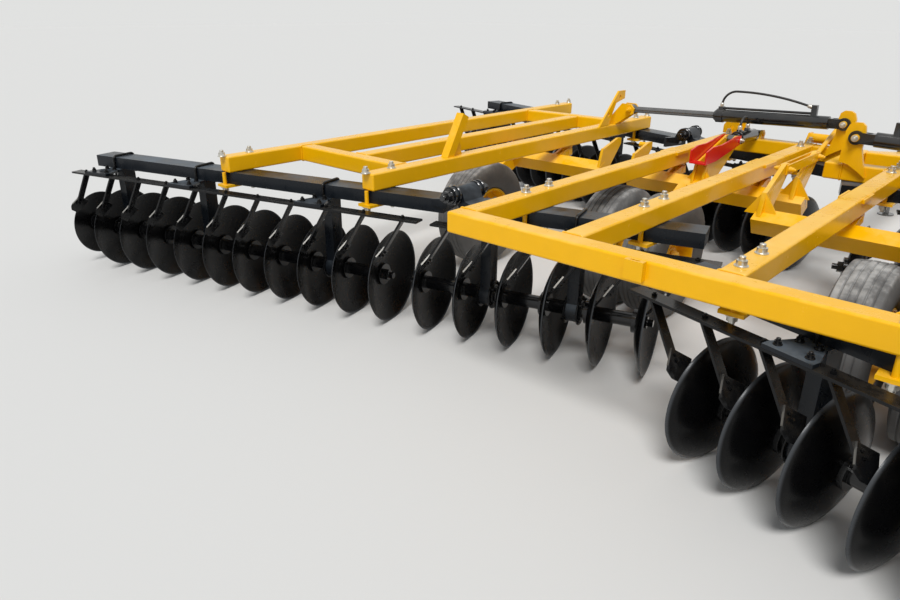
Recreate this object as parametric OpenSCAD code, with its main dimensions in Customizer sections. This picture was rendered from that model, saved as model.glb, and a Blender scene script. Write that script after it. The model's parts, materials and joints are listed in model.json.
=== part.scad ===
// Folding tandem disc harrow, towed, at full size in millimetres.
// +X is the machine's right side, +Y its direction of travel, +Z up.
// The right half is the left half mirrored and set back by the stagger.

/* [Discs] */
// Diameter of a disc blade
disc_d = 559; // [500:1:610]
// Diameter of the outermost rear blades, smaller to level the soil
end_disc_d = 457; // [400:1:500]
// Inner radius of the blade's dish
dish_r = 560; // [450:5:900]
// Thickness of a blade
disc_t = 6.4; // [4:0.1:9]
// Distance between neighbouring blades on a gang
disc_pitch = 254; // [230:1:280]
// Blades on each centre gang
centre_discs = 6; // [4:1:6]
// Blades on each wing gang
wing_discs = 11; // [8:1:11]
// Angle of a gang's axle to the machine's width
gang_angle = 16.3; // [10:0.1:20]
// Distance of the innermost blades' rims from the middle
gang_inner_x = 279; // [250:1:320]
// Distance along the gang line from centre gang to wing gang
gang_break = 292; // [280:1:340]
// How far the right half of the machine is set back
stagger = 524; // [400:1:600]

/* [Gang axles] */
// Radius of the gang's axle bolt
axle_r = 19; // [14:0.5:24]
// Radius of a spool's waist
spool_r = 38; // [32:1:45]
// Radius of a spool's flange
flange_r = 66; // [58:1:80]
// Thickness of a spool's flange
flange_t = 22; // [14:1:30]
// Radius of a bearing housing
housing_r = 68; // [60:1:80]
// Length of a bearing housing
housing_len = 84; // [60:1:110]

/* [Gang beams] */
// Width of a gang beam
beam_w = 152; // [120:1:200]
// Height of a gang beam
beam_h = 76; // [60:1:90]
// Thickness of a clamp plate
clamp_t = 16; // [10:1:25]
// Radius of a U-bolt's rod
ubolt_r = 8; // [6:0.5:8.5]
// Width of a bearing standard, along the gang
standard_w = 60; // [40:1:64]
// Depth of a bearing standard, across the gang
standard_d = 100; // [70:1:130]

/* [Scrapers] */
// Distance of the scraper bar behind the axle
bar_back = 208; // [190:1:230]
// Width of the scraper bar
bar_w = 76; // [60:1:90]
// Thickness of the scraper bar
bar_t = 12; // [8:1:20]
// Width of a scraper arm
arm_w = 44; // [25:1:50]
// Thickness of a scraper arm
arm_t = 12; // [8:1:16]
// Height of a scraper blade
blade_h = 118; // [90:1:130]
// Thickness of a scraper blade
blade_t = 8; // [5:1:12]

/* [Frame] */
// Side of a square frame tube
tube = 102; // [80:1:120]
// Height of the frame's top above the ground
frame_top = 916; // [880:1:960]
// Half the length of the rear cross tube
rear_half = 966; // [960:1:1010]
// Place of the inner long tubes, from the middle
inner_tube_x = 338; // [300:1:400]
// Place of the outer long tubes, from the middle
outer_tube_x = 915; // [860:1:915]
// Rear face of the wing's rear cross tube
wing_rear_y = 544; // [500:1:600]
// Rear face of the wing's front cross tube
wing_front_y = 3110; // [3000:1:3150]
// Place of the wing's inner long tube, from the middle
wing_inner_x = 1849; // [1800:1:1880]
// Place of the wing's middle long tube, from the middle
wing_middle_x = 2320; // [2300:1:2400]
// Place of the wing's outer long tube, from the middle
wing_outer_x = 2880; // [2800:1:3000]
// Distance from the rear cross tube to the front gangs' line at the middle
front_gang_y = 2930; // [2850:1:3000]
// Distance from the rear cross tube to the rear gangs' line at the middle
rear_gang_y = 915; // [880:1:950]

/* [Fold] */
// Distance of the fold line from the middle
fold_x = 1320; // [1310:1:1340]
// Height of the fold pins
fold_z = 850; // [845:1:870]
// Radius of a fold pin
fold_pin_r = 24; // [18:1:28]
// Radius of a fold knuckle
knuckle_r = 46; // [40:1:50]
// Length of the middle knuckle
knuckle_len = 150; // [120:1:180]
// Radius of a fold cylinder's barrel
fold_barrel_r = 44; // [38:1:46]
// Radius of a fold cylinder's rod
fold_rod_r = 24; // [20:1:32]
// Height of a fold cylinder's inner pin
tower_pin_z = 1085; // [1080:1:1100]
// Height of a fold cylinder's outer pin
wing_pin_z = 1038; // [1030:1:1050]
// Place of a fold cylinder's outer pin, from the middle
wing_pin_x = 1690; // [1680:1:1710]
// Place of a fold cylinder's inner pin, from the middle
tower_pin_x = 105; // [95:1:110]
// Thickness of a tower plate
tower_t = 28; // [20:1:36]

/* [Wheels] */
// Diameter of a tyre
tyre_d = 756; // [700:1:780]
// Width of a tyre
tyre_w = 240; // [200:1:250]
// Diameter of a rim
rim_d = 381; // [330:1:400]
// Place of the wheels' axle in front of the rear cross tube's rear face
axle_y = 1580; // [1540:1:1620]
// Gap under the tyres while the harrow stands on its discs
tyre_gap = 12; // [5:1:40]
// Place of the inner twin wheel, from the middle
twin_inner_x = 612; // [600:1:620]
// Place of the outer twin wheel, from the middle
twin_outer_x = 948; // [940:1:960]
// Place of the wing wheel, from the middle
wing_wheel_x = 2075; // [2060:1:2090]
// Radius of a wheel axle
wheel_axle_r = 30; // [22:1:36]

/* [Rockshaft] */
// Side of the rockshaft's square tube
rock_tube = 102; // [90:1:115]
// Distance of the rockshaft's pivot from the rear cross tube's rear face
rock_y = 2320; // [2300:1:2360]
// Height of the rockshaft's pivot
rock_z = 768; // [750:1:775]
// Tilt of the rockshaft's tube in work
rock_tilt = 28; // [10:1:40]
// Radius of a pivot pin
rock_pin_r = 16; // [12:1:20]

/* [Tongue] */
// Distance of the tongue's pivot from the rear cross tube's rear face
tongue_y = 3300; // [3260:1:3340]
// Height of the tongue's pivot
tongue_z = 800; // [780:1:820]
// Half the distance between the tongue's pivots
tongue_half = 230; // [180:1:250]
// Side of the tongue's square tube
tongue_tube = 127; // [100:1:160]
// Place of the hitch pin
hitch_y = 6050; // [5800:10:6300]
// Height of the hitch pin's middle
hitch_z = 470; // [420:1:520]
// Radius of the hitch pin's bore
hitch_bore_r = 20; // [16:0.5:25]
// Thickness of a hitch plate
hitch_t = 25; // [18:1:30]
// Place of the parking jack on the tongue
jack_y = 5250; // [5000:10:5500]
// Radius of the jack's outer tube
jack_r = 32; // [25:1:40]
// Gap between the jack's tube and the tongue
jack_gap = 50; // [45:1:80]
// Radius of the jack's foot
jack_foot_r = 70; // [50:1:74]

/* [Hidden] */
$fn = 64;
// Gap between pieces that bear on each other
seat = 0.3;
// Play of a pin or shaft in its bore
play = 0.1;
// Running clearance between pieces that pass each other
clear = 6;
REAR = -1;
FRONT = 1;
frame_bot = frame_top - tube;
beam_top = frame_bot - seat;
beam_bot = beam_top - beam_h;
clamp_bot = beam_bot - seat - clamp_t;
bar_z = clamp_bot - seat - bar_t;
axle_z = disc_d/2;
dish = dish_r - sqrt(pow(dish_r, 2) - pow(disc_d/2, 2));
centre_len = (centre_discs - 1)*disc_pitch;
wing_start = centre_len + gang_break;
wing_len = (wing_discs - 1)*disc_pitch;
// How far a centre gang's beam reaches inward past the innermost blade's rim
beam_overhang = 205;
// How far a wing gang's beam stops short of the outermost blade's rim
beam_short = 160;
knuckle_arm = 90;
// Depth of a knuckle arm inside its beam
knuckle_root = 25;
// Thickness of a wing knuckle's ring, and how far its pin stands out
ring_t = 46;
pin_out = 24;
centre_beam_end = (fold_x - knuckle_arm - gang_inner_x)/cos(gang_angle);
wing_beam_start = (fold_x + knuckle_arm - gang_inner_x)/cos(gang_angle);
wing_beam_end = wing_start + wing_len - beam_short;
front_cross_y = gang_y(FRONT, inner_tube_x) - 20;
tyre_z = tyre_d/2 + tyre_gap;
// How far the hitch plate's nose reaches past its pin
hitch_nose = 60;
// A scraper arm's top and foot, on the hollow side of the blade's rim and above the axle
arm_out = 200;
arm_in = 78;
arm_foot_z = 235;
// How far the scraper bar runs past its outermost arms
bar_over = 105;
// Place of a scraper blade's rear corner behind the axle and on the hollow side of the rim
blade_back = 52.4;
blade_corner = 16;
back_end = gang_y(REAR, gang_inner_x) - stagger - (bar_back + blade_back)*cos(gang_angle)
    - (wing_start + wing_len - blade_corner)*sin(gang_angle);
mid_y = (hitch_y + hitch_nose + back_end)/2;

// Middle of the fold cylinders' plane, against the rear face of the front cross tube
fold_plane_y = front_cross_y - seat - tower_t/2;
fold_dx = wing_pin_x - tower_pin_x;
fold_dz = wing_pin_z - tower_pin_z;
fold_len = sqrt(pow(fold_dx, 2) + pow(fold_dz, 2));
// Place of a fold barrel's open end, and of its rod's inner end, from the inner pin
fold_barrel_len = 870;
fold_rod_back = 725;
// Radius of the fold cylinders' pins
fold_eye_r = 22;

// Place of the lift cylinder, its lever's pin from the pivot, and its base pin
lift_x = 700;
lever_y = 300;
lever_z = 190;
anchor_y = front_cross_y + 66;
anchor_z = frame_top + 32;
lift_dy = rock_y + lever_y - anchor_y;
lift_dz = rock_z + lever_z - anchor_z;
lift_len = sqrt(pow(lift_dy, 2) + pow(lift_dz, 2));
lift_barrel_r = 42;

// Place of the rockshaft's square tube from its pivot
tube_off_y = -150;
tube_off_z = -73;
// Plane of the link between the two rockshafts, and its pins from the pivots
sync_x = 100;
sync_y = 120;
sync_z = 180;
sync_lever_t = 25;

// The levelling link's plane, its pin under the rockshaft's pivot and its pin over the tongue's
link_x = 200;
link_drop = 60;
link_rise = 250;
link_dy = tongue_y - rock_y;
link_dz = tongue_z + link_rise - rock_z + link_drop;
// Where the tongue's tube ends and the hitch plate begins
hitch_len = 330;
hitch_back = hitch_y - hitch_len;

// Radius of a hydraulic hose, and the size of its fittings
hose_r = 8;
gland_r = 13;
gland_len = 30;
// Places of a fold barrel's two hose ends along it, the height where its hose begins over the
// barrel's middle, and how much higher it ends
ports = [235, fold_barrel_len - 22];
hose_base = fold_barrel_r + 32;
hose_step = 24;
// The fold hose's tight bow, and the wide one, whose radius and turn follow from run and fall
hose_bow = 100;
hose_run = ports[1] - ports[0] - hose_bow;
hose_fall = hose_bow - hose_step;
hose_wide = (pow(hose_run, 2) + pow(hose_fall, 2))/(2*hose_fall);
hose_turn = asin(hose_run/hose_wide);
// Places of a lift barrel's two ports along it, and the radius of the hose's bow between them
lift_ports = [200, lift_len - 115];
lift_bow = (lift_ports[1] - lift_ports[0])/2;
lift_hose_base = lift_barrel_r + 26;

// Height of a gang's line over the plan, at a distance from the middle
function gang_y(row, x) = (row == REAR ? rear_gang_y : front_gang_y) + row*x*tan(gang_angle);

// Places of the blades' rims along a gang line, out from the innermost blade
function rims(part) = part == "centre"
    ? [for (k = [0:centre_discs - 1]) k*disc_pitch]
    : [for (k = [0:wing_discs - 1]) wing_start + k*disc_pitch];

// Places of the blades' crowns, where the axle passes through them
function crowns(row, part) = [for (s = rims(part)) s - row*dish];

// Blades after which a bearing stands, counted out from the inner end
function bearings(part) = part == "centre" ? [1, 3] : [1, 5, 8];

// Puts a piece that is drawn for the right side on its own side
module half(side) {
    translate([0, -mid_y, 0])
        if (side == "left") mirror([1, 0, 0]) children();
        else translate([0, -stagger, 0]) children();
}

// A gang's own frame: its axle along X, outward, with the innermost rim at 0
module on_gang(row) {
    translate([gang_inner_x, gang_y(row, gang_inner_x), axle_z])
        rotate([0, 0, row*gang_angle]) children();
}

// A round bar along X
module bar_x(x0, x1, r) {
    translate([x0, 0, 0]) rotate([0, 90, 0]) cylinder(h = x1 - x0, r = r);
}

// A round bar along Y
module bar_y(y0, y1, r) {
    translate([0, y0, 0]) rotate([-90, 0, 0]) cylinder(h = y1 - y0, r = r);
}

// A plate in the YZ plane, its outline given as [y, z] points
module plate_x(x, t, outline) {
    translate([x - t/2, 0, 0]) rotate([90, 0, 90]) linear_extrude(t) polygon(outline);
}

// A long tube along Y under the given top
module tube_y(x, y0, y1) {
    translate([x - tube/2, y0, frame_bot]) cube([tube, y1 - y0, tube]);
}

// A cross tube between two places
module tube_x(x0, x1, y) {
    translate([x0, y, frame_bot]) cube([x1 - x0, tube, tube]);
}

// The dished steel of a blade, hollow towards +X, between two spheres
module dished(d, thin, thick) {
    difference() {
        intersection() {
            translate([dish_r + disc_t/2, 0, 0]) sphere(r = dish_r + disc_t + thick, $fn = 128);
            bar_x(-2*disc_t, 2*dish, d/2);
        }
        translate([dish_r + disc_t/2, 0, 0]) sphere(r = dish_r - thin, $fn = 128);
    }
}

// One blade with its axle hole
module blade(d) {
    difference() {
        dished(d, 0, 0);
        bar_x(-2*disc_t, 2*disc_t, axle_r + seat);
    }
}

// Front gangs hollow outward, rear gangs hollow inward
module facing(row) {
    if (row == FRONT) children();
    else mirror([1, 0, 0]) children();
}

module gang_discs(row, part) {
    c = crowns(row, part);
    last = len(c) - 1;
    color("#1c1c1e") on_gang(row)
        for (k = [0:last])
            translate([c[k], 0, 0]) facing(row)
                blade(row == REAR && part == "wing" && k == last ? end_disc_d : disc_d);
}

module gang_spools(row, part) {
    c = crowns(row, part);
    last = len(c) - 1;
    nut_t = 30;
    color("#242428") on_gang(row) {
        difference() {
            union() {
                bar_x(c[0] - flange_t, c[last] + flange_t, spool_r);
                for (s = c) bar_x(s - flange_t, s + flange_t, flange_r);
            }
            for (s = c) translate([s, 0, 0]) facing(row) dished(3*flange_r, seat, seat);
        }
        bar_x(c[0] - flange_t - 2*nut_t, c[last] + flange_t + 2*nut_t, axle_r);
        bar_x(c[0] - flange_t - nut_t, c[0] - flange_t, axle_r + 16, $fn = 6);
        bar_x(c[last] + flange_t, c[last] + flange_t + nut_t, axle_r + 16, $fn = 6);
    }
}

// A bearing standard: its housing, post and clamp plate, with holes for the U-bolt
module standard() {
    leg_y = beam_w/2 + ubolt_r + 1;
    plate_half = beam_w/2 + 3*ubolt_r + 8;
    top = clamp_bot - axle_z;
    difference() {
        union() {
            bar_x(-housing_len/2, housing_len/2, housing_r);
            translate([-standard_w/2, -standard_d/2, 0]) cube([standard_w, standard_d, top]);
            translate([-standard_w, -plate_half, top]) cube([2*standard_w, 2*plate_half, clamp_t]);
        }
        bar_x(-housing_len, housing_len, spool_r + play);
        for (y = [-leg_y, leg_y])
            translate([0, y, top - clamp_t]) cylinder(h = 3*clamp_t, r = ubolt_r + play);
    }
}

// The bracket that carries the scraper bar back from the clamp plate, wider at the bar
module bar_bracket() {
    front = -(beam_w/2 + 3*ubolt_r + 8 + seat);
    back = -(bar_back + bar_w/2);
    translate([0, 0, clamp_bot - axle_z]) linear_extrude(clamp_t)
        polygon([[-standard_w + 5, front], [standard_w - 5, front], [95, back + bar_w/2],
            [95, back], [-95, back], [-95, back + bar_w/2]]);
}

// A U-bolt over the beam, down through the clamp plate; it stops at the beam's top under a cross tube
module ubolt(over) {
    leg_y = beam_w/2 + ubolt_r + 1;
    base = clamp_bot - axle_z - 2*ubolt_r;
    beam = beam_top - axle_z;
    for (y = [-leg_y, leg_y])
        translate([0, y, base]) cylinder(h = beam - base + (over ? 2*ubolt_r + seat : 0), r = ubolt_r);
    if (over) translate([0, 0, beam + ubolt_r + seat]) bar_y(-leg_y, leg_y, ubolt_r);
}

module gang_beam(row, part) {
    c = crowns(row, part);
    s0 = part == "centre" ? -beam_overhang : wing_beam_start;
    s1 = part == "centre" ? centre_beam_end : wing_beam_end;
    on_gang(row) {
        translate([s0, -beam_w/2, beam_bot - axle_z]) cube([s1 - s0, beam_w, beam_h]);
        for (k = bearings(part))
            translate([(c[k] + c[k + 1])/2 + row*dish/2, 0, 0]) {
                standard();
                bar_bracket();
                ubolt(row == REAR || part == "wing" || k > 1);
            }
    }
}

// A knuckle's cheek: its side view from a root in the beam up to the pin, drawn out along Y
module cheek(side, root, y, long) {
    low = beam_top - beam_h/2;
    translate([0, y + long, 0]) rotate([90, 0, 0]) linear_extrude(long)
        polygon([for (p = [[root, low], [root, beam_top - 2], [68, beam_top + 10], [48, fold_z + 22],
            [24, fold_z + 38], [0, fold_z], [28, low]]) [side*p[0], p[1]]]);
    translate([0, 0, fold_z]) bar_y(y, y + long, knuckle_r);
}

// Middle knuckle on the centre's beam
module centre_knuckle(row) {
    translate([fold_x, gang_y(row, fold_x), 0])
        difference() {
            cheek(-1, knuckle_arm + knuckle_root, -knuckle_len/2, knuckle_len);
            translate([0, 0, fold_z]) bar_y(-knuckle_len, knuckle_len, fold_pin_r + play);
        }
}

// Outer knuckles and the pin on the wing's beam, with the plate across its end that they stand on
module wing_knuckle(row) {
    end = knuckle_len/2 + 1;
    plate_t = 25;
    plate_out = 158;
    translate([fold_x, gang_y(row, fold_x), 0]) {
        for (y = [-end - ring_t, end]) cheek(1, knuckle_arm + 2*plate_t, y, ring_t);
        translate([0, 0, fold_z]) bar_y(-end - ring_t - pin_out, end + ring_t + pin_out, fold_pin_r);
    }
    on_gang(row) scale([1, row, 1])
        translate([wing_beam_start, -plate_out, beam_bot - axle_z])
            cube([plate_t, plate_out + beam_w/2, beam_h]);
}

module centre_beams(row) {
    color("#2b3036")
        for (side = ["left", "right"]) half(side) {
            gang_beam(row, "centre");
            centre_knuckle(row);
        }
}

module wing_beams(side) {
    color("#2b3036") half(side)
        for (row = [REAR, FRONT]) {
            gang_beam(row, "wing");
            wing_knuckle(row);
        }
}

// A scraper: a flat arm that leans out from the bar to the blade's hollow side, and the steel
// bolted under its foot, turned so that its lower edge wipes the hollow near the rim
module scraper() {
    rise = bar_z - axle_z - seat - arm_foot_z;
    lean = atan2(arm_out - arm_in, rise);
    long = rise/cos(lean);
    turned = 37;
    intersection() {
        translate([dish + arm_in, -bar_back, arm_foot_z]) rotate([0, lean, 0])
            translate([-arm_t/2, -arm_w/2, -arm_w]) cube([arm_t, arm_w, long + 2*arm_w]);
        translate([0, -bar_back - arm_w, 0]) cube([dish_r, 2*arm_w, arm_foot_z + rise]);
    }
    intersection() {
        translate([dish + arm_in, -bar_back, arm_foot_z]) rotate([0, lean, 0])
            translate([-arm_t/2 - seat - blade_t, 0, 0]) rotate([-turned, 0, 0])
                translate([0, -14, -blade_h + 14]) cube([blade_t, 0.93*blade_h, blade_h]);
        translate([dish_r + disc_t/2, 0, 0]) sphere(r = dish_r - clear, $fn = 128);
    }
}

module gang_scrapers(row, part) {
    s = rims(part);
    last = len(s) - 1;
    c = crowns(row, part);
    on_gang(row) {
        translate([s[0] + row*arm_out - bar_over, -bar_back - bar_w/2, bar_z - axle_z])
            cube([s[last] - s[0] + 2*bar_over, bar_w, bar_t]);
        for (x = c) translate([x, 0, 0]) facing(row) scraper();
    }
}

module centre_scrapers(row) {
    color("#202326") for (side = ["left", "right"]) half(side) gang_scrapers(row, "centre");
}

module wing_scrapers(side) {
    color("#202326") half(side) for (row = [REAR, FRONT]) gang_scrapers(row, "wing");
}

// Clamp that holds a gang beam under a frame tube: a plate and two long bolts
module beam_clamp(row, x) {
    bolt_r = 12;
    reach = (beam_w/2 + bolt_r + 8)/cos(gang_angle);
    plate_half = reach + 2*bolt_r;
    translate([x, gang_y(row, x), 0]) {
        translate([-tube/2, -plate_half, clamp_bot]) cube([tube, 2*plate_half, clamp_t]);
        for (y = [-reach, reach])
            translate([0, y, clamp_bot]) cylinder(h = beam_top - clamp_bot, r = bolt_r);
    }
}

// Ends of a long tube over the gang beams that it carries
function tube_back(x) = gang_y(REAR, x) - beam_w*0.6;
function tube_front(x) = gang_y(FRONT, x) + beam_w*0.6;

module centre_frame() {
    color("#f2a900") translate([0, -mid_y, 0]) tube_x(-rear_half, rear_half, 0);
    color("#f2a900") for (side = ["left", "right"]) half(side) {
        y0 = side == "left" ? tube + seat : tube + stagger + seat;
        for (x = [inner_tube_x, outer_tube_x]) {
            tube_y(x, y0, tube_front(x));
            beam_clamp(REAR, x);
            beam_clamp(FRONT, x);
        }
        tube_x(inner_tube_x + tube/2 + seat, outer_tube_x - tube/2 - seat, front_cross_y);
        tube_x(tube/2 + seat, inner_tube_x - tube/2 - seat, front_cross_y);
        for (x = [inner_tube_x, outer_tube_x]) rock_hanger(x);
        lift_anchor();
        stop_ears();
    }
    color("#f2a900") translate([0, -mid_y, 0]) {
        tube_y(0, front_cross_y - stagger, front_cross_y + tube);
        tube_x(tube/2 + seat, tongue_half + tube/2, front_cross_y);
        for (x = [-tongue_half, tongue_half]) tongue_lug(x);
        mirror([1, 0, 0]) front_pipe();
        socket_box();
    }
}

// Round tube ahead of the left front cross tube, between two lugs
module front_pipe() {
    pipe_y = front_cross_y + tube + 85;
    pipe_z = frame_top + 25;
    pipe_r = 34;
    ends = [140, 365];
    fronts = [front_cross_y + tube, tube_front(inner_tube_x)];
    for (k = [0, 1])
        plate_x(ends[k], 16, [[fronts[k] + seat, frame_bot + 20], [fronts[k] + seat, frame_top - 4],
            [pipe_y - 20, pipe_z + pipe_r + 2], [pipe_y + pipe_r + 6, pipe_z + pipe_r + 2],
            [pipe_y + pipe_r + 6, pipe_z - pipe_r + 10], [fronts[k] + 40, frame_bot + 34]]);
    translate([0, pipe_y, pipe_z]) bar_x(ends[0], ends[1], pipe_r);
}

// Open-topped box for a pin or a flag on the back of the rear cross tube
module socket_box() {
    size = [80, 30, 78];
    translate([-20, -size[1] - seat, frame_top - size[2]]) difference() {
        cube(size);
        translate([size[0]/4, size[1]/3, size[2]/2]) cube([size[0]/2, size[1]/3, size[2]]);
    }
}

// Two round-topped ears on the front end of the outer long tube
module stop_ears() {
    ear_r = 40;
    y1 = tube_front(outer_tube_x) - 24;
    for (y = [y1 - 100, y1])
        translate([outer_tube_x, y, frame_top + seat]) rotate([90, 0, 0]) linear_extrude(18) difference() {
            union() {
                translate([-66, 0]) square([132, 46]);
                for (x = [-26, 26]) translate([x, 46]) circle(r = ear_r);
                translate([-26, 0]) square([52, 46 + ear_r]);
            }
            translate([-200, -ear_r]) square([400, ear_r]);
            translate([0, 46]) circle(r = 14);
        }
}

// Lug that hangs a rockshaft under a long tube, with its pin
module rock_hanger(x) {
    t = 20;
    difference() {
        plate_x(x, t, [[rock_y - 70, frame_bot - seat], [rock_y + 70, frame_bot - seat],
            [rock_y + 36, rock_z - 34], [rock_y - 36, rock_z - 34]]);
        translate([0, rock_y, rock_z]) bar_x(x - t, x + t, rock_pin_r + play);
    }
}

// Ears on the front cross tube that hold the lift cylinder's base pin
module lift_anchor() {
    base = frame_top + seat;
    ear_t = 16;
    for (x = [lift_x - 42, lift_x + 42])
        plate_x(x, ear_t, [[anchor_y - 50, base], [anchor_y + 34, base], [anchor_y + 28, anchor_z + 14],
            [anchor_y + 12, anchor_z + 28], [anchor_y - 16, anchor_z + 28], [anchor_y - 32, anchor_z + 8]]);
    translate([0, anchor_y, anchor_z]) bar_x(lift_x - 58, lift_x + 58, rock_pin_r);
}

// Lug on the front cross tube for a tongue pivot
module tongue_lug(x) {
    difference() {
        plate_x(x, 24, [[front_cross_y + tube + seat, frame_bot + 6], [tongue_y + 20, tongue_z - 45],
            [tongue_y + 50, tongue_z], [tongue_y + 20, tongue_z + 45],
            [front_cross_y + tube + seat, frame_top - 4]]);
        translate([0, tongue_y, tongue_z]) bar_x(x - 20, x + 20, 22 + play);
    }
}

// Plates on the rear face of the front cross tubes that hold the fold cylinders' inner pins
module fold_tower() {
    gusset_x = tower_pin_x - 12;
    color("#f2a900") for (side = ["left", "right"]) half(side) {
        translate([0, front_cross_y - seat, 0]) rotate([90, 0, 0]) linear_extrude(tower_t)
            polygon([[34, frame_top + 17], [tower_pin_x - 65, tower_pin_z + 36],
                [tower_pin_x - 50, tower_pin_z + 74], [tower_pin_x - 26, tower_pin_z + 87],
                [tower_pin_x + 14, tower_pin_z + 87], [tower_pin_x + 36, tower_pin_z + 70],
                [tower_pin_x + 43, tower_pin_z + 35], [tower_pin_x + 41, tower_pin_z - 66],
                [193, frame_bot + 35], [153, frame_top - 36], [89, frame_top + 4]]);
        plate_x(gusset_x, 16, [[front_cross_y - 1, frame_top + seat],
            [front_cross_y + 88, frame_top + seat], [front_cross_y - 1, frame_top + 90]]);
        translate([tower_pin_x, fold_plane_y, tower_pin_z])
            bar_y(-tower_t/2 - 40, tower_t/2 + 40, fold_eye_r);
    }
}

module wing_frame(side) {
    color("#f2a900") half(side) {
        for (x = [wing_inner_x, wing_outer_x]) {
            tube_y(x, tube_back(x), tube_front(x));
            beam_clamp(REAR, x);
            beam_clamp(FRONT, x);
        }
        tube_y(wing_middle_x, wing_rear_y + tube + seat, wing_front_y - seat);
        for (y = [wing_rear_y, wing_front_y])
            tube_x(wing_inner_x + tube/2 + seat, wing_outer_x - tube/2 - seat, y);
        for (x = [wing_inner_x, wing_middle_x]) rock_hanger(x);
        for (y = [-46, 30])
            translate([0, fold_plane_y + y + 16, 0]) rotate([90, 0, 0]) linear_extrude(16)
                polygon([[wing_inner_x - tube/2, frame_top + seat],
                    [wing_inner_x + tube/2, frame_top + seat],
                    [wing_pin_x + 70, wing_pin_z + 45], [wing_pin_x - 10, wing_pin_z + 42],
                    [wing_pin_x - 42, wing_pin_z + 10], [wing_pin_x - 36, wing_pin_z - 30],
                    [wing_pin_x, wing_pin_z - 45]]);
        for (y = [-60, 46])
            translate([wing_pin_x, fold_plane_y, wing_pin_z]) bar_y(y, y + 14, fold_eye_r);
        wing_props();
    }
}

// Two leaning props on the wing's inner tube that rest on the centre when it is folded
module wing_props() {
    base = frame_top + seat;
    difference() {
        plate_x(wing_inner_x - tube/2 + 10, 16, [[2700, base], [2830, base], [2930, base + 168],
            [3060, base + 194], [3060, base + 259], [2960, base + 259]]);
        for (p = [[2825, base + 84], [2985, base + 212]])
            translate([0, p[0], p[1]]) bar_x(wing_inner_x - tube, wing_inner_x, 14);
    }
    plate_x(wing_inner_x, 58, [[930, base], [990, base], [1130, base + 232], [1078, base + 260]]);
    plate_x(wing_inner_x, 12, [[989, base], [1090, base], [1062, base + 124]]);
}

module on_fold_cylinder() {
    translate([tower_pin_x, fold_plane_y, tower_pin_z]) rotate([0, -atan2(fold_dz, fold_dx), 0]) children();
}

module fold_barrel(side) {
    cheek_t = 16;
    fork = tower_t/2 + 2 + cheek_t;
    pipe_r = 9;
    color("#1d1f22") half(side) on_fold_cylinder() {
        difference() {
            union() {
                bar_y(-fork, fork, 42);
                translate([0, -fork, -32]) cube([112, 2*fork, 64]);
                bar_x(100, fold_barrel_len, fold_barrel_r);
                translate([ports[1] - 18, -18, 0]) cube([36, 36, fold_barrel_r + 22]);
                translate([ports[0] - 50, -18, 0]) cube([36, 36, hose_base + hose_step + 12]);
                translate([0, 0, fold_barrel_r + pipe_r + 2]) bar_x(ports[0] - 30, ports[1], pipe_r);
                translate([ports[1], 0, 0]) cylinder(h = hose_base, r = gland_r);
                translate([ports[0], 0, hose_base + hose_step]) rotate([0, 90 - hose_turn, 0])
                    translate([0, 0, -gland_len]) cylinder(h = gland_len, r = gland_r);
            }
            bar_y(-2*fork, 2*fork, fold_eye_r + play);
            translate([-50, cheek_t - fork, -50]) cube([128, 2*(fork - cheek_t), 100]);
            bar_x(150, fold_barrel_len + 10, fold_rod_r + play);
        }
    }
}

// The hose over a fold cylinder: up from the port at the rod's end in a tight bow, then down
// to the other port in a wide one
module fold_hose(side) {
    color("#161616") half(side) on_fold_cylinder() translate([0, 0, hose_base]) rotate([90, 0, 0]) {
        translate([ports[1] - hose_bow, 0, 0]) rotate_extrude(angle = 90)
            translate([hose_bow, 0]) circle(r = hose_r);
        translate([ports[1] - hose_bow, hose_bow - hose_wide, 0]) rotate([0, 0, 90])
            rotate_extrude(angle = hose_turn) translate([hose_wide, 0]) circle(r = hose_r);
    }
}

module fold_rod(side) {
    color("#8f9498") half(side) on_fold_cylinder() {
        bar_x(fold_rod_back, fold_len - 30, fold_rod_r);
        translate([fold_len, 0, 0]) bar_y(-27, 27, 38);
    }
}

// Rockshaft: the tube under its pivot pins, the ears, and an arm down to the axle
module rock_body(x0, x1, ears) {
    translate([0, rock_y + tube_off_y, rock_z + tube_off_z]) rotate([rock_tilt, 0, 0])
        translate([x0, -rock_tube/2, -rock_tube/2]) cube([x1 - x0, rock_tube, rock_tube]);
    for (x = ears, d = [-22, 22])
        plate_x(x + d, 18, [[rock_y - 28, rock_z - 34], [rock_y + 36, rock_z - 24],
            [rock_y + 30, rock_z + 26], [rock_y - 40, rock_z + 26],
            [rock_y + tube_off_y, rock_z + tube_off_z + 60],
            [rock_y + tube_off_y, rock_z + tube_off_z - 20]]);
    for (x = ears) translate([0, rock_y, rock_z]) bar_x(x - 34, x + 34, rock_pin_r);
}

module wheel_arm(x) {
    plate_x(x, 56, [[rock_y + tube_off_y + 60, rock_z + tube_off_z - 40], [rock_y + tube_off_y - 60,
        rock_z + tube_off_z + 30], [axle_y - 45, tyre_z + 30], [axle_y - 45, tyre_z - 40],
        [axle_y + 40, tyre_z - 45]]);
}

// A lever on a rockshaft's tube up to a pin at the given place from the pivot
module lever(x, t, pin_y, pin_z, wide) {
    foot_y = rock_y + tube_off_y;
    foot_z = rock_z + tube_off_z;
    plate_x(x, t, [[foot_y - 45, foot_z + 36], [foot_y + 60, foot_z - 20],
        [rock_y + pin_y + wide, rock_z + pin_z - 20], [rock_y + pin_y + wide, rock_z + pin_z + wide - 4],
        [rock_y + pin_y - wide + 4, rock_z + pin_z + wide], [foot_y + 8, foot_z + 165],
        [foot_y - 8, foot_z + 165]]);
}

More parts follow.
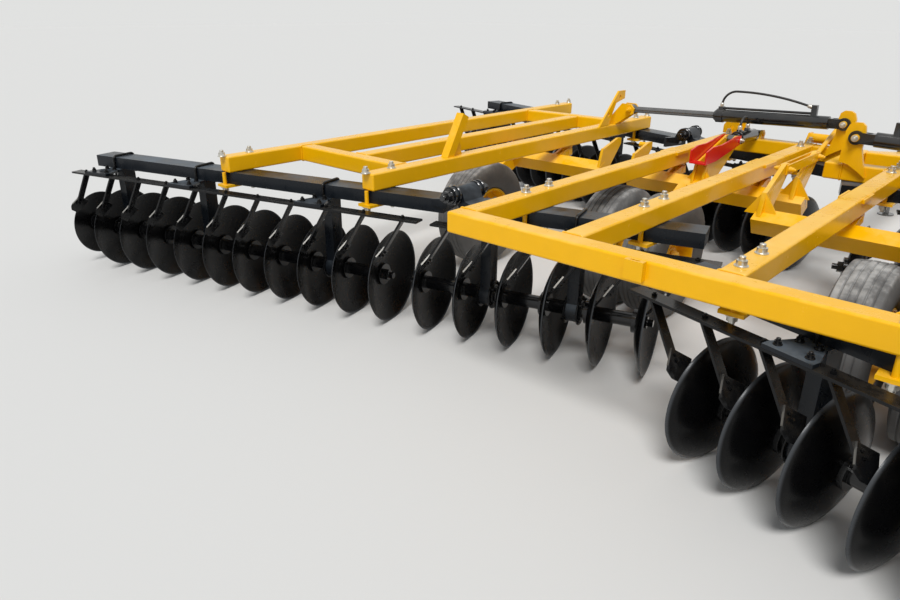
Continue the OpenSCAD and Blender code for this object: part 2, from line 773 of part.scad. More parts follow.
// The triangular stay that stands across a lever's foot
module lever_stay(x) {
    stay_t = 14;
    translate([x, rock_y + tube_off_y + stay_t/2, rock_z + tube_off_z]) rotate([90, 0, 0])
        linear_extrude(stay_t) polygon([[-92, 40], [92, 40], [12, 160], [-12, 160]]);
}

module rockshaft(side) {
    mid_x = (twin_inner_x + twin_outer_x)/2;
    inner_end = side == "left" ? 30 : -sync_x - 30;
    lever_at = side == "left" ? sync_x : -sync_x;
    tie_x = fold_x - 130;
    color("#f2a900") half(side) {
        rock_body(inner_end, fold_x - 110, [inner_tube_x, outer_tube_x]);
        wheel_arm(mid_x);
        translate([0, axle_y, tyre_z]) bar_x(twin_inner_x - 60, twin_outer_x + 60, wheel_axle_r);
        if (side == "left")
            for (x = [link_x - 26, link_x + 26])
                plate_x(x, 14, [[rock_y + tube_off_y - 20, rock_z + tube_off_z + 30],
                    [rock_y + tube_off_y, rock_z + tube_off_z - 40],
                    [rock_y + 30, rock_z - link_drop - 30], [rock_y + 30, rock_z - link_drop + 30]]);
        for (x = [lift_x - 34, lift_x + 34]) lever(x, 16, lever_y, lever_z, 30);
        lever_stay(lift_x);
        difference() {
            lever(lever_at, sync_lever_t, sync_y, sync_z, 34);
            translate([0, rock_y + sync_y, rock_z + sync_z])
                bar_x(lever_at - sync_lever_t, lever_at + sync_lever_t, rock_pin_r + play);
        }
        lever_stay(lever_at);
        lever(tie_x, 20, 60, 120, 26);
        translate([0, rock_y + 60, rock_z + 120]) bar_x(tie_x, tie_x + 75, rock_pin_r + 2);
    }
}

module wing_rockshaft(side) {
    arm_x = wing_wheel_x + tyre_w/2 + 20 + 28;
    color("#f2a900") half(side) {
        rock_body(fold_x + 110, wing_middle_x + 120, [wing_inner_x, wing_middle_x]);
        wheel_arm(arm_x);
        translate([0, axle_y, tyre_z]) bar_x(wing_wheel_x - 60, arm_x + 28, wheel_axle_r);
        lever(fold_x + 122, 20, 60, 120, 26);
    }
}

// Double flat link that turns both rockshafts together
module sync_link() {
    bar_high = 28;
    flat = 10;
    gap = sync_lever_t/2 + 1;
    color("#f2a900") translate([-sync_x, rock_y + sync_y - mid_y, rock_z + sync_z]) {
        for (x = [-gap - flat, gap])
            translate([x, -stagger - bar_high, -bar_high]) cube([flat, stagger + 2*bar_high, 2*bar_high]);
        for (y = [-stagger, 0]) translate([0, y, 0]) bar_x(-gap - flat - 12, gap + flat + 12, rock_pin_r);
    }
}

// A tyre: a rounded ring about the wheel's axle
module tyre(x) {
    edge = 50;
    r0 = rim_d/2 + seat;
    r1 = tyre_d/2;
    translate([x, axle_y, tyre_z]) rotate([0, 90, 0]) rotate_extrude() {
        translate([r0, -tyre_w/2 + edge]) square([r1 - r0, tyre_w - 2*edge]);
        translate([r0, -tyre_w/2]) square([r1 - r0 - edge, tyre_w]);
        for (y = [-1, 1]) translate([r1 - edge, y*(tyre_w/2 - edge)]) circle(r = edge);
    }
}

// A rim: a barrel with a dished middle and its hub on the axle
module rim(x) {
    half_w = tyre_w/2 - 16;
    translate([x, axle_y, tyre_z]) rotate([0, 90, 0]) rotate_extrude()
        polygon([[rim_d/2, -half_w], [rim_d/2, half_w], [rim_d/2 - 14, half_w], [rim_d/2 - 18, 14],
            [75, 14], [62, 58], [wheel_axle_r + play, 58], [wheel_axle_r + play, -58], [62, -58],
            [75, -6], [rim_d/2 - 18, -6], [rim_d/2 - 14, -half_w]]);
}

module twin_tyres(side) {
    color("#5b5a57") half(side)
        for (x = [twin_inner_x, twin_outer_x]) tyre(x);
}

module twin_rims(side) {
    color("#f2a900") half(side)
        for (x = [twin_inner_x, twin_outer_x]) rim(x);
}

module wing_tyre(side) {
    color("#5b5a57") half(side) tyre(wing_wheel_x);
}

module wing_rim(side) {
    color("#f2a900") half(side) rim(wing_wheel_x);
}

// Cylinder that turns the rockshaft, between the cross tube's ears and the lever
module on_lift_cylinder() {
    translate([lift_x, anchor_y, anchor_z]) rotate([-atan2(lift_dz, -lift_dy), 0, 0]) children();
}

module lift_barrel(side) {
    color("#1d1f22") half(side) on_lift_cylinder() difference() {
        union() {
            bar_x(-28, 28, 26);
            translate([-26, -90, -22]) cube([52, 90, 44]);
            bar_y(-lift_len + 90, -76, lift_barrel_r);
            for (y = lift_ports) {
                translate([-16, -y - 16, 0]) cube([32, 32, lift_barrel_r + 14]);
                translate([0, -y, 0]) cylinder(h = lift_hose_base, r = gland_r);
            }
        }
        bar_x(-40, 40, rock_pin_r + play);
        bar_y(-lift_len, -90, 20 + play);
    }
}

module lift_hose(side) {
    color("#161616") half(side) on_lift_cylinder()
        translate([0, -lift_ports[0] - lift_bow, lift_hose_base]) rotate([90, 0, 90])
            rotate_extrude(angle = 180) translate([lift_bow, 0]) circle(r = hose_r);
}

module lift_rod(side) {
    color("#b9bcc0") half(side) on_lift_cylinder() {
        bar_y(-lift_len + 20, -106, 20);
        translate([0, -lift_len, 0]) bar_x(-24, 24, 30);
    }
}

// Lock link of the lift: a channel that hangs back from the lever's pin
module lock_link(side) {
    back = rock_y + lever_y - 520;
    high = rock_z + lever_z;
    flat = 10;
    color("#c3161c") half(side) {
        for (x = [lift_x - 52, lift_x + 52])
            plate_x(x, flat, [[rock_y + lever_y + 30, high - 10], [rock_y + lever_y + 18, high + 30],
                [rock_y + lever_y - 50, high + 34], [back + 230, high + 6], [back + 90, high + 8],
                [back, high - 12],
                [back, high - 96], [back + 160, high - 92], [rock_y + lever_y + 10, high - 30]]);
        translate([lift_x - 52, back, high - 96]) cube([104, 70, flat]);
        for (x = [lift_x - 62, lift_x + 42 + seat])
            translate([0, rock_y + lever_y, high]) bar_x(x, x + 20 - seat, 20);
    }
}

module tongue() {
    run = hitch_back - tongue_y - 60;
    fall = tongue_z - hitch_z;
    color("#f2a900") translate([0, -mid_y, 0]) {
        difference() {
            translate([0, tongue_y + 60, tongue_z]) rotate([-atan2(fall, run), 0, 0])
                translate([-tongue_tube/2, 0, -tongue_tube/2])
                    cube([tongue_tube, sqrt(pow(run, 2) + pow(fall, 2)) + tongue_tube/4, tongue_tube]);
            translate([-tongue_tube, hitch_back, hitch_z - 2*tongue_tube])
                cube([2*tongue_tube, tongue_tube, 4*tongue_tube]);
        }
        for (x = [-tongue_half, tongue_half], d = [-26, 26])
            plate_x(x + d, 20, [[tongue_y - 34, tongue_z - 34], [tongue_y + 20, tongue_z - 45],
                [tongue_y + 140, tongue_z - 50], [tongue_y + 140, tongue_z + 50],
                [tongue_y, tongue_z + 45], [tongue_y - 34, tongue_z + 34]]);
        for (x = [-tongue_half, tongue_half])
            translate([0, tongue_y, tongue_z]) bar_x(x - 44, x + 44, 22);
        translate([-tongue_half - 36, tongue_y + 80, tongue_z - tube/2])
            cube([2*tongue_half + 72, tube, tube]);
        for (x = [-link_x - 26, -link_x + 26])
            plate_x(x, 14, [[tongue_y + 80, tongue_z + tube/2 - 2],
                [tongue_y + 80 + tube, tongue_z + tube/2 - 2],
                [tongue_y + 34, tongue_z + link_rise + 30], [tongue_y - 30, tongue_z + link_rise + 30],
                [tongue_y - 30, tongue_z + link_rise - 30]]);
    }
}

module hitch_plate() {
    color("#f2a900") translate([0, -mid_y, 0]) difference() {
        union() {
            translate([0, hitch_y, hitch_z - hitch_t/2]) cylinder(h = hitch_t, r = hitch_nose);
            translate([-hitch_nose, hitch_back + seat, hitch_z - hitch_t/2])
                cube([2*hitch_nose, hitch_len - seat, hitch_t]);
        }
        translate([0, hitch_y, hitch_z - hitch_t]) cylinder(h = 2*hitch_t, r = hitch_bore_r);
    }
}

// Link that keeps the frame level: from the rockshaft's lever to the tongue
module level_link() {
    long = sqrt(pow(link_dy, 2) + pow(link_dz, 2));
    color("#f2a900") translate([-link_x, rock_y - mid_y, rock_z - link_drop])
        rotate([atan2(link_dz, link_dy), 0, 0]) {
            bar_y(20, long - 20, 16);
            for (y = [0, long]) translate([0, y, 0]) bar_x(-19 + seat, 19 - seat, 30);
        }
}

module jack_tube() {
    x = tongue_tube/2 + jack_r + jack_gap;
    color("#2b3036") translate([-x, jack_y - mid_y, 0]) difference() {
        union() {
            translate([0, 0, 260]) cylinder(h = 600, r = jack_r);
            translate([0, 0, 520]) bar_x(0, jack_gap + jack_r - seat, 26);
        }
        translate([0, 0, 250]) cylinder(h = 560, r = jack_r - 6);
    }
}

module jack_leg() {
    x = tongue_tube/2 + jack_r + jack_gap;
    color("#8f9498") translate([-x, jack_y - mid_y, 0]) {
        cylinder(h = 10, r = jack_foot_r);
        cylinder(h = 550, r = jack_r - 6 - play);
    }
}

centre_frame();
fold_tower();
centre_beams(REAR);  // rear_centre_beams
centre_beams(FRONT);  // front_centre_beams
centre_scrapers(REAR);  // rear_centre_scrapers
centre_scrapers(FRONT);  // front_centre_scrapers
wing_frame("left");  // left_wing_frame
wing_beams("left");  // left_wing_beams
wing_scrapers("left");  // left_wing_scrapers
wing_frame("right");  // right_wing_frame
wing_beams("right");  // right_wing_beams
wing_scrapers("right");  // right_wing_scrapers
half("left") gang_discs(REAR, "centre");  // rear_left_centre_discs
half("left") gang_spools(REAR, "centre");  // rear_left_centre_spools
half("right") gang_discs(REAR, "centre");  // rear_right_centre_discs
half("right") gang_spools(REAR, "centre");  // rear_right_centre_spools
half("left") gang_discs(FRONT, "centre");  // front_left_centre_discs
half("left") gang_spools(FRONT, "centre");  // front_left_centre_spools
half("right") gang_discs(FRONT, "centre");  // front_right_centre_discs
half("right") gang_spools(FRONT, "centre");  // front_right_centre_spools
half("left") gang_discs(REAR, "wing");  // rear_left_wing_discs
half("left") gang_spools(REAR, "wing");  // rear_left_wing_spools
half("right") gang_discs(REAR, "wing");  // rear_right_wing_discs
half("right") gang_spools(REAR, "wing");  // rear_right_wing_spools
half("left") gang_discs(FRONT, "wing");  // front_left_wing_discs
half("left") gang_spools(FRONT, "wing");  // front_left_wing_spools
half("right") gang_discs(FRONT, "wing");  // front_right_wing_discs
half("right") gang_spools(FRONT, "wing");  // front_right_wing_spools
rockshaft("left");  // left_rockshaft
rockshaft("right");  // right_rockshaft
wing_rockshaft("left");  // left_wing_rockshaft
wing_rockshaft("right");  // right_wing_rockshaft
twin_tyres("left");  // left_twin_tyres
twin_rims("left");  // left_twin_rims
twin_tyres("right");  // right_twin_tyres
twin_rims("right");  // right_twin_rims
wing_tyre("left");  // left_wing_tyre
wing_rim("left");  // left_wing_rim
wing_tyre("right");  // right_wing_tyre
wing_rim("right");  // right_wing_rim
fold_barrel("left");  // left_fold_barrel
fold_rod("left");  // left_fold_rod
fold_barrel("right");  // right_fold_barrel
fold_rod("right");  // right_fold_rod
lift_barrel("left");  // left_lift_barrel
lift_rod("left");  // left_lift_rod
lift_barrel("right");  // right_lift_barrel
lift_rod("right");  // right_lift_rod
lock_link("left");  // left_lock_link
lock_link("right");  // right_lock_link
sync_link();
fold_hose("left");  // left_fold_hose
fold_hose("right");  // right_fold_hose
lift_hose("left");  // left_lift_hose
lift_hose("right");  // right_lift_hose
tongue();
hitch_plate();
level_link();
jack_tube();
jack_leg();
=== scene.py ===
# %% [markdown]
# # A folding disc harrow
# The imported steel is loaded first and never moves. Everything after this cell is a skin around
# it: rounded edges, blades worked out from two spheres, ribbed tyres, bolts and paint.

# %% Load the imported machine
import json
import math
import bmesh
import bpy
import numpy as np
from mathutils import Matrix

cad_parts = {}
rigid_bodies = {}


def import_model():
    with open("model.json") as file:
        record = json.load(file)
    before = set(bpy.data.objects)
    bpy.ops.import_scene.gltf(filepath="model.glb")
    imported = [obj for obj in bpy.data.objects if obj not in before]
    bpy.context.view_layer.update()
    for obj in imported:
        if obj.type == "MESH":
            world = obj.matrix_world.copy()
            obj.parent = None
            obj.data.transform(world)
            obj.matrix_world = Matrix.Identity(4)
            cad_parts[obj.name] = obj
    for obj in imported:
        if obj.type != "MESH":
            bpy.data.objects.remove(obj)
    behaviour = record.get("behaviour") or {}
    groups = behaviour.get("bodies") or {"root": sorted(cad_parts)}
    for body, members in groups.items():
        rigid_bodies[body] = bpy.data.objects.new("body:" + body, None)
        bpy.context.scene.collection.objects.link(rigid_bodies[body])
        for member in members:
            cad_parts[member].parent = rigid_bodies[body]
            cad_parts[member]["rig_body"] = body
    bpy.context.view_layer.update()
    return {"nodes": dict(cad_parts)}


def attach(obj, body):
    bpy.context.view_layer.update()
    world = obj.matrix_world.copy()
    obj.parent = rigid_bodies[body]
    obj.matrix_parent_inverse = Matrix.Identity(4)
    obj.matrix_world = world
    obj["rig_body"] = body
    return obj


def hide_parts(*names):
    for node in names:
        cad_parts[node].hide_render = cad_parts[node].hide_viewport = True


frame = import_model()

# %% [markdown]
# ## Camera
# The photograph looks forward and to the left over the wing, from behind the right half at about
# eye height. The camera's place and turn come from the straight edges of the frame.

# %% The camera
CAMERA_PLACE = (1.198, -4.840, 1.786)
CAMERA_HEADING = 42.55
CAMERA_DIP = 22.52
CAMERA_ROLL = 0.297
LENS_MM = 28.10
SENSOR_MM = 36.0


def turn(degrees, axis):
    """A turn about one axis of the frame, as a 4 by 4 matrix."""
    return Matrix.Rotation(math.radians(degrees), 4, axis)


eye = bpy.data.cameras.new("eye")
eye.lens = LENS_MM
eye.sensor_width = SENSOR_MM
eye_object = bpy.data.objects.new("eye", eye)
bpy.context.scene.collection.objects.link(eye_object)
heading_and_dip = turn(CAMERA_HEADING, "Z") @ turn(90 - CAMERA_DIP, "X")
eye_object.matrix_world = Matrix.Translation(CAMERA_PLACE) @ heading_and_dip @ turn(CAMERA_ROLL, "Z")
bpy.context.scene.camera = eye_object
print("lens", eye.lens)

# %% [markdown]
# ## Arrays into meshes
# Each new piece is a grid of points: one direction of the grid runs along a profile, the other
# round an axis or along a path. The same few helpers turn any such grid into a mesh.

# %% Grids of points
BOX_FACES = np.array([(0, 1, 3, 2), (4, 6, 7, 5), (0, 4, 5, 1), (2, 3, 7, 6), (0, 2, 6, 4), (1, 5, 7, 3)])


def grid_faces(rows, columns, wrap_rows, wrap_columns):
    """Quads of a grid: each joins a point to the next in its row and the next in its column."""
    r = np.arange(rows if wrap_rows else rows - 1)[:, None]
    c = np.arange(columns if wrap_columns else columns - 1)[None, :]
    r2 = (r + 1) % rows
    c2 = (c + 1) % columns
    quads = np.stack([r * columns + c, r * columns + c2, r2 * columns + c2, r2 * columns + c], axis=-1)
    return quads.reshape(-1, 4)


def lathe(profile, around, hexness=None):
    """Turns (height, radius) points about X. A ring's radius is r, or the straight side of a
    hexagon, r cos 30 / cos(angle from the middle of that side), where its hexness is 1."""
    height, radius = np.asarray(profile, float).T
    angle = np.linspace(0, 2 * np.pi, around, endpoint=False)
    side = math.cos(math.pi / 6) / np.cos((angle + math.pi / 6) % (math.pi / 3) - math.pi / 6)
    blend = np.zeros(len(radius)) if hexness is None else np.asarray(hexness, float)
    reach = radius[:, None] * (1 + blend[:, None] * (side[None, :] - 1))
    points = np.stack(
        [np.broadcast_to(height[:, None], reach.shape), reach * np.cos(angle), reach * np.sin(angle)], axis=-1
    )
    return points.reshape(-1, 3)


def sweep(path, radius, square, around=14):
    """A rod along a path that lies in one plane. Ring k is path + r (cos a n + sin a w), where w
    stands square to the plane and n is w x the path's direction. A ring of radius 0 ends it."""
    path = np.asarray(path, float)
    ahead = np.gradient(path, axis=0)
    ahead /= np.linalg.norm(ahead, axis=1)[:, None]
    w = np.asarray(square, float) / np.linalg.norm(square)
    n = np.cross(w, ahead)
    ends = [0, *range(len(path)), len(path) - 1]
    radius = np.broadcast_to(np.asarray(radius, float), len(path))[ends].copy()
    radius[[0, -1]] = 0
    angle = np.linspace(0, 2 * np.pi, around, endpoint=False)[None, :, None]
    rings = np.cos(angle) * n[ends][:, None] + np.sin(angle) * w
    points = path[ends][:, None] + radius[:, None, None] * rings
    return points.reshape(-1, 3), grid_faces(len(ends), around, False, True)[:, ::-1]


def bend(centre, radius, start, stop, count, u, v):
    """Points of an arc: centre + R (cos a u + sin a v), a from start to stop in degrees."""
    a = np.radians(np.linspace(start, stop, count))[:, None]
    return np.asarray(centre) + radius * (np.cos(a) * np.asarray(u) + np.sin(a) * np.asarray(v))


def together(shapes):
    """Several (points, faces) shapes as one."""
    steps = np.cumsum([0] + [len(points) for points, _ in shapes[:-1]])
    return (np.concatenate([points for points, _ in shapes]),
            np.concatenate([faces + step for (_, faces), step in zip(shapes, steps)]))


def shift(x, y, z):
    """The matrix of a move by x, y and z."""
    return np.array(Matrix.Translation((x, y, z)))


def stand(spot, way):
    """The matrix that puts a piece drawn along X on a spot so that its X points that way."""
    x = np.asarray(way, float) / np.linalg.norm(way)
    y = np.cross((0, 0, 1) if abs(x[2]) < 0.9 else (1, 0, 0), x)
    y /= np.linalg.norm(y)
    place = np.eye(4)
    place[:3, 0], place[:3, 1], place[:3, 2], place[:3, 3] = x, y, np.cross(x, y), spot
    return place


def spread(points, faces, places):
    """Copies one shape to many places: each point times each 4 by 4 matrix, in one product.
    Where a matrix mirrors the shape, its faces are turned round."""
    places = np.asarray(places, float)
    full = np.concatenate([points, np.ones((len(points), 1))], axis=1)
    moved = np.einsum("kij,nj->kni", places, full)[..., :3].reshape(-1, 3)
    steps = np.arange(len(places))[:, None, None] * len(points)
    mirrored = np.linalg.det(places[:, :3, :3]) < 0
    picked = np.where(mirrored[:, None, None], faces[None, :, ::-1], faces[None])
    return moved, (picked + steps).reshape(-1, faces.shape[1])


def mesh_from(name, points, faces, values=None):
    """A mesh from whole arrays. values may give each point one number under the name "along"."""
    mesh = bpy.data.meshes.new(name)
    mesh.vertices.add(len(points))
    mesh.vertices.foreach_set("co", np.asarray(points, np.float32).ravel())
    corners = faces.shape[1]
    mesh.loops.add(faces.size)
    mesh.loops.foreach_set("vertex_index", faces.astype(np.int32).ravel())
    mesh.polygons.add(len(faces))
    mesh.polygons.foreach_set("loop_start", np.arange(0, faces.size, corners, dtype=np.int32))
    mesh.update(calc_edges=True)
    if values is not None:
        along_axle = mesh.attributes.new("along", "FLOAT", "POINT")
        along_axle.data.foreach_set("value", np.asarray(values, np.float32))
    mesh.validate()
    return mesh


def show(name, mesh, material, body, slot, sharp=40.0, stands_for=()):
    """Puts a mesh in the scene, smooth up to a sharp angle, on its body and with its finish."""
    mesh.polygons.foreach_set("use_smooth", np.ones(len(mesh.polygons), bool))
    mesh.set_sharp_from_angle(angle=math.radians(sharp))
    mesh.materials.append(material)
    piece = bpy.data.objects.new(name, mesh)
    bpy.context.scene.collection.objects.link(piece)
    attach(piece, body)
    if stands_for:
        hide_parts(*stands_for)
    return piece


def copies(name, shape, places, material, body, slot, sharp=40.0, stands_for=()):
    """One piece that holds a copy of a (points, faces) shape at each of the places."""
    points, faces = spread(*shape, places)
    return show(name, mesh_from(name, points, faces), material, body, slot, sharp, stands_for)


print("a ring of 6 quads:", grid_faces(2, 6, False, True).shape)

# %% [markdown]
# ## Where things are
# The machine is drawn as a right half and mirrored, and the right half stands a little further
# back, which is what lets the two halves of the gangs meet in the middle. The same few numbers
# place every blade and bolt here.

# %% The machine's own places
STAGGER = 0.524
MIDDLE_Y = 2.511339
GANG_ANGLE = math.radians(16.3)
INNER_RIM_X = 0.279
GANG_LINE_Y = {"rear": 0.915, "front": 2.930}
ROW_TURN = {"rear": -1, "front": 1}
PITCH = 0.254
BREAK = 0.292
BLADES = {"centre": 6, "wing": 11}
BLADE_R = 0.2795
END_BLADE_R = 0.2285
DISH_R = 0.560
BLADE_T = 0.0064
DISH = DISH_R - math.sqrt(DISH_R**2 - BLADE_R**2)
FRAME_TOP = 0.916
TUBE = 0.102
INNER_X, OUTER_X = 0.338, 0.915
WING_INNER_X, WING_MIDDLE_X, WING_OUTER_X = 1.849, 2.320, 2.880
SEAT = 0.0003
BEAM_TOP = FRAME_TOP - TUBE - SEAT
BEAM_HIGH = 0.076
BEAM_HALF = 0.076
CLAMP_TOP = BEAM_TOP - BEAM_HIGH - SEAT
CLAMP_T = 0.016
BEARINGS = {"centre": (1, 3), "wing": (1, 5, 8)}
SIDES, ROWS, PARTS = ("left", "right"), ("rear", "front"), ("centre", "wing")
HALVES = [(side, part) for side in SIDES for part in PARTS]
GANGS = [(row, side, part) for row in ROWS for side in SIDES for part in PARTS]


def carrier(side, part):
    """The body that carries the steel over one part of a half."""
    return "centre" if part == "centre" else f"{side}_wing"


def half(side):
    """The matrix from the right half's drawing to its place: a mirror in X on the left, a step
    back on the right."""
    if side == "left":
        return np.array(Matrix.Translation((0, -MIDDLE_Y, 0)) @ Matrix.Scale(-1, 4, (1, 0, 0)))
    return shift(0, -MIDDLE_Y - STAGGER, 0)


def gang_line(row, x):
    """How far forward a gang lies at x: its place in the middle plus x times the angle's slope."""
    return GANG_LINE_Y[row] + ROW_TURN[row] * x * math.tan(GANG_ANGLE)


def on_gang(row, side):
    """The matrix of a gang's own frame: X outward along its axle from the innermost rim."""
    rim = Matrix.Translation((INNER_RIM_X, gang_line(row, INNER_RIM_X), BLADE_R))
    return half(side) @ np.array(rim @ turn(ROW_TURN[row] * math.degrees(GANG_ANGLE), "Z"))


def crowns(row, part):
    """Where the axle meets each blade, out along the gang."""
    start = 0.0 if part == "centre" else (BLADES["centre"] - 1) * PITCH + BREAK
    return start + np.arange(BLADES[part]) * PITCH - ROW_TURN[row] * DISH


def bearing_places(row, part):
    """Where the bearings stand along a gang: halfway between two blades, off the dish."""
    at = crowns(row, part)
    return [(at[k] + at[k + 1]) / 2 + ROW_TURN[row] * DISH / 2 for k in BEARINGS[part]]


print("gang runs", crowns("rear", "centre")[0], "to", crowns("rear", "wing")[-1])

# %% [markdown]
# ## Effects that several finishes share
# Field dust settles on what faces up, in patches. The same group paints light as well: its colour
# on the upward faces of the yellow paint is a painted sunlit top, and on the beams a painted sky
# reflection. Sprayed paint has a faint skin like orange peel. Both are node groups, so each paint
# can take its own amount.

# %% Dust, painted lit tops and skin
def new_group(name, inputs, outputs):
    """An empty shader group with named sockets, and its input and output nodes."""
    tree = bpy.data.node_groups.new(name, "ShaderNodeTree")
    for label, kind, value in inputs:
        tree.interface.new_socket(name=label, in_out="INPUT", socket_type=kind).default_value = value
    for label, kind in outputs:
        tree.interface.new_socket(name=label, in_out="OUTPUT", socket_type=kind)
    return tree, tree.nodes.new("NodeGroupInput"), tree.nodes.new("NodeGroupOutput")


def math_node(tree, kind, a, b):
    """A sum, product or larger of two values, each a socket or a number."""
    node = tree.nodes.new("ShaderNodeMath")
    node.operation = kind
    for socket, value in zip(node.inputs, (a, b)):
        if isinstance(value, (int, float)):
            socket.default_value = value
        else:
            tree.links.new(value, socket)
    return node.outputs[0]


def noise_node(tree, scale, detail, rough=0.55):
    """Noise on Object coordinates. scale is a number or a socket."""
    coordinates = tree.nodes.new("ShaderNodeTexCoord")
    noise = tree.nodes.new("ShaderNodeTexNoise")
    noise.inputs["Detail"].default_value = detail
    noise.inputs["Roughness"].default_value = rough
    tree.links.new(coordinates.outputs["Object"], noise.inputs["Vector"])
    if isinstance(scale, (int, float)):
        noise.inputs["Scale"].default_value = scale
    else:
        tree.links.new(scale, noise.inputs["Scale"])
    return noise.outputs["Fac"]


def ramp_node(tree, value, low, high):
    """Stretches the part of a value between low and high to 0 to 1, with soft ends."""
    node = tree.nodes.new("ShaderNodeMapRange")
    node.interpolation_type = "SMOOTHSTEP"
    node.inputs["From Min"].default_value = low
    node.inputs["From Max"].default_value = high
    tree.links.new(value, node.inputs["Value"])
    return node.outputs["Result"]


def mix_node(tree, share, a, b):
    """Mixes two colours by a share from 0 to 1."""
    node = tree.nodes.new("ShaderNodeMix")
    node.data_type = "RGBA"
    tree.links.new(share, node.inputs["Factor"])
    for socket, value in ((node.inputs[6], a), (node.inputs[7], b)):
        if isinstance(value, tuple):
            socket.default_value = value
        else:
            tree.links.new(value, socket)
    return node.outputs[2]


COLOUR, NUMBER = "NodeSocketColor", "NodeSocketFloat"
FIELD_DUST = (0.42, 0.36, 0.28, 1)
# The group mixes a colour into the upward faces in patches: field dust on most finishes, and painted light on
# the yellow paint and the blue-black beams.
dust_and_lit_tops, tops_in, tops_out = new_group(
    "field_dust_and_lit_tops",
    [("Paint", COLOUR, (0.5, 0.5, 0.5, 1)), ("Dust and Lit Top", COLOUR, FIELD_DUST), ("Amount", NUMBER, 0.3),
     ("Patches", NUMBER, 6.0)],
    [("Color", COLOUR), ("Dust and Lit Top Share", NUMBER)],
)
facing = dust_and_lit_tops.nodes.new("ShaderNodeTexCoord")
split = dust_and_lit_tops.nodes.new("ShaderNodeSeparateXYZ")
dust_and_lit_tops.links.new(facing.outputs["Normal"], split.inputs[0])
STEEP, FLAT = -0.1, 1.0
PATCH_FROM, PATCH_TO = 0.38, 0.72
upward = ramp_node(dust_and_lit_tops, split.outputs["Z"], STEEP, FLAT)
patchy = ramp_node(dust_and_lit_tops, noise_node(dust_and_lit_tops, tops_in.outputs["Patches"], 8.0, 0.62), PATCH_FROM, PATCH_TO)
top_layer = math_node(dust_and_lit_tops, "MULTIPLY", math_node(dust_and_lit_tops, "MULTIPLY", upward, patchy), tops_in.outputs["Amount"])
topped = mix_node(dust_and_lit_tops, top_layer, tops_in.outputs["Paint"], tops_in.outputs["Dust and Lit Top"])
dust_and_lit_tops.links.new(topped, tops_out.inputs["Color"])
dust_and_lit_tops.links.new(top_layer, tops_out.inputs["Dust and Lit Top Share"])

skin, skin_in, skin_out = new_group(
    "paint_skin", [("Grain", NUMBER, 300.0), ("Waves", NUMBER, 14.0)], [("Height", NUMBER), ("Shade", NUMBER)]
)
FINE_SHARE = 0.35
fine = math_node(skin, "MULTIPLY", noise_node(skin, skin_in.outputs["Grain"], 3.0), FINE_SHARE)
slow = noise_node(skin, skin_in.outputs["Waves"], 4.0)
skin.links.new(math_node(skin, "ADD", fine, slow), skin_out.inputs["Height"])
skin.links.new(slow, skin_out.inputs["Shade"])
print("groups", [g.name for g in bpy.data.node_groups])

# %% [markdown]
# ## The finishes
# A gloss chrome yellow on the frame, satin blue-black on the gang beams, gloss black on blades
# and cylinders, one red link on each lift, bright zinc on the bolts, chromed rods and worn grey
# rubber. One function makes them all: each has its own colour, gloss, coat and amounts of skin and
# of a top layer, so a new finish is one line. The top layer is pale dust on the tyres' tread and
# field dust on most finishes. On the frame its pale lemon is painted sunlight on the tops, and on
# the beams its blue-grey is a painted sky reflection.
#
# The ground rim of a blade is a little paler than its paint: partly the bare ground steel, partly a
# painted sheen that stands in for the highlight along the rim. Each blade's mesh carries the distance
# from its axle under the name "along", and the material mixes in the rim's colour by it.

# %% Paints, metals and rubber
COAT_ROUGH = 0.08
TOP_LAYER_ROUGH, WAVE_ROUGH = 0.9, 0.16
SKIN_DEPTH = 0.002


def finish(name, colour, rough, metallic=0.0, coat=0.0, specular=0.5, dust_and_light=0.25, patches=6.0,
           grain=300.0, bump=0.05, shade=0.08, dust_and_light_colour=FIELD_DUST):
    """A painted or bare surface. Its colour swings by shade with slow noise, then takes a top layer
    on its upward faces, which is field dust on most finishes and painted light on some, and its
    roughness rises with both."""
    material = bpy.data.materials.new(name)
    material.use_nodes = True
    tree = material.node_tree
    shader = tree.nodes["Principled BSDF"]
    shader.inputs["Metallic"].default_value = metallic
    shader.inputs["Coat Weight"].default_value = coat
    shader.inputs["Coat Roughness"].default_value = COAT_ROUGH
    shader.inputs["Specular IOR Level"].default_value = specular
    film = tree.nodes.new("ShaderNodeGroup")
    film.node_tree = skin
    film.inputs["Grain"].default_value = grain
    top_layer = tree.nodes.new("ShaderNodeGroup")
    top_layer.node_tree = dust_and_lit_tops
    top_layer.inputs["Dust and Lit Top"].default_value = dust_and_light_colour
    top_layer.inputs["Amount"].default_value = dust_and_light
    top_layer.inputs["Patches"].default_value = patches
    dark = tuple(c * (1 - shade) for c in colour) + (1,)
    light = tuple(min(1, c * (1 + shade)) for c in colour) + (1,)
    tree.links.new(mix_node(tree, film.outputs["Shade"], dark, light), top_layer.inputs["Paint"])
    tree.links.new(top_layer.outputs["Color"], shader.inputs["Base Color"])
    matter = math_node(tree, "MULTIPLY", top_layer.outputs["Dust and Lit Top Share"], TOP_LAYER_ROUGH)
    waves = math_node(tree, "MULTIPLY", film.outputs["Shade"], WAVE_ROUGH)
    total = math_node(tree, "ADD", math_node(tree, "ADD", matter, waves), rough - WAVE_ROUGH / 2)
    tree.links.new(total, shader.inputs["Roughness"])
    relief = tree.nodes.new("ShaderNodeBump")
    relief.inputs["Strength"].default_value = bump
    relief.inputs["Distance"].default_value = SKIN_DEPTH
    tree.links.new(film.outputs["Height"], relief.inputs["Height"])
    tree.links.new(relief.outputs["Normal"], shader.inputs["Normal"])
    return material


# The yellow's pale lemon top colour is painted sunlight on the frame's upward faces, not dust.
yellow = finish("gloss_yellow_paint", (0.87, 0.450, 0.0015), 0.24, coat=0.12, specular=0.22, dust_and_light=0.24,
                shade=0.05, dust_and_light_colour=(0.95, 0.82, 0.42, 1))
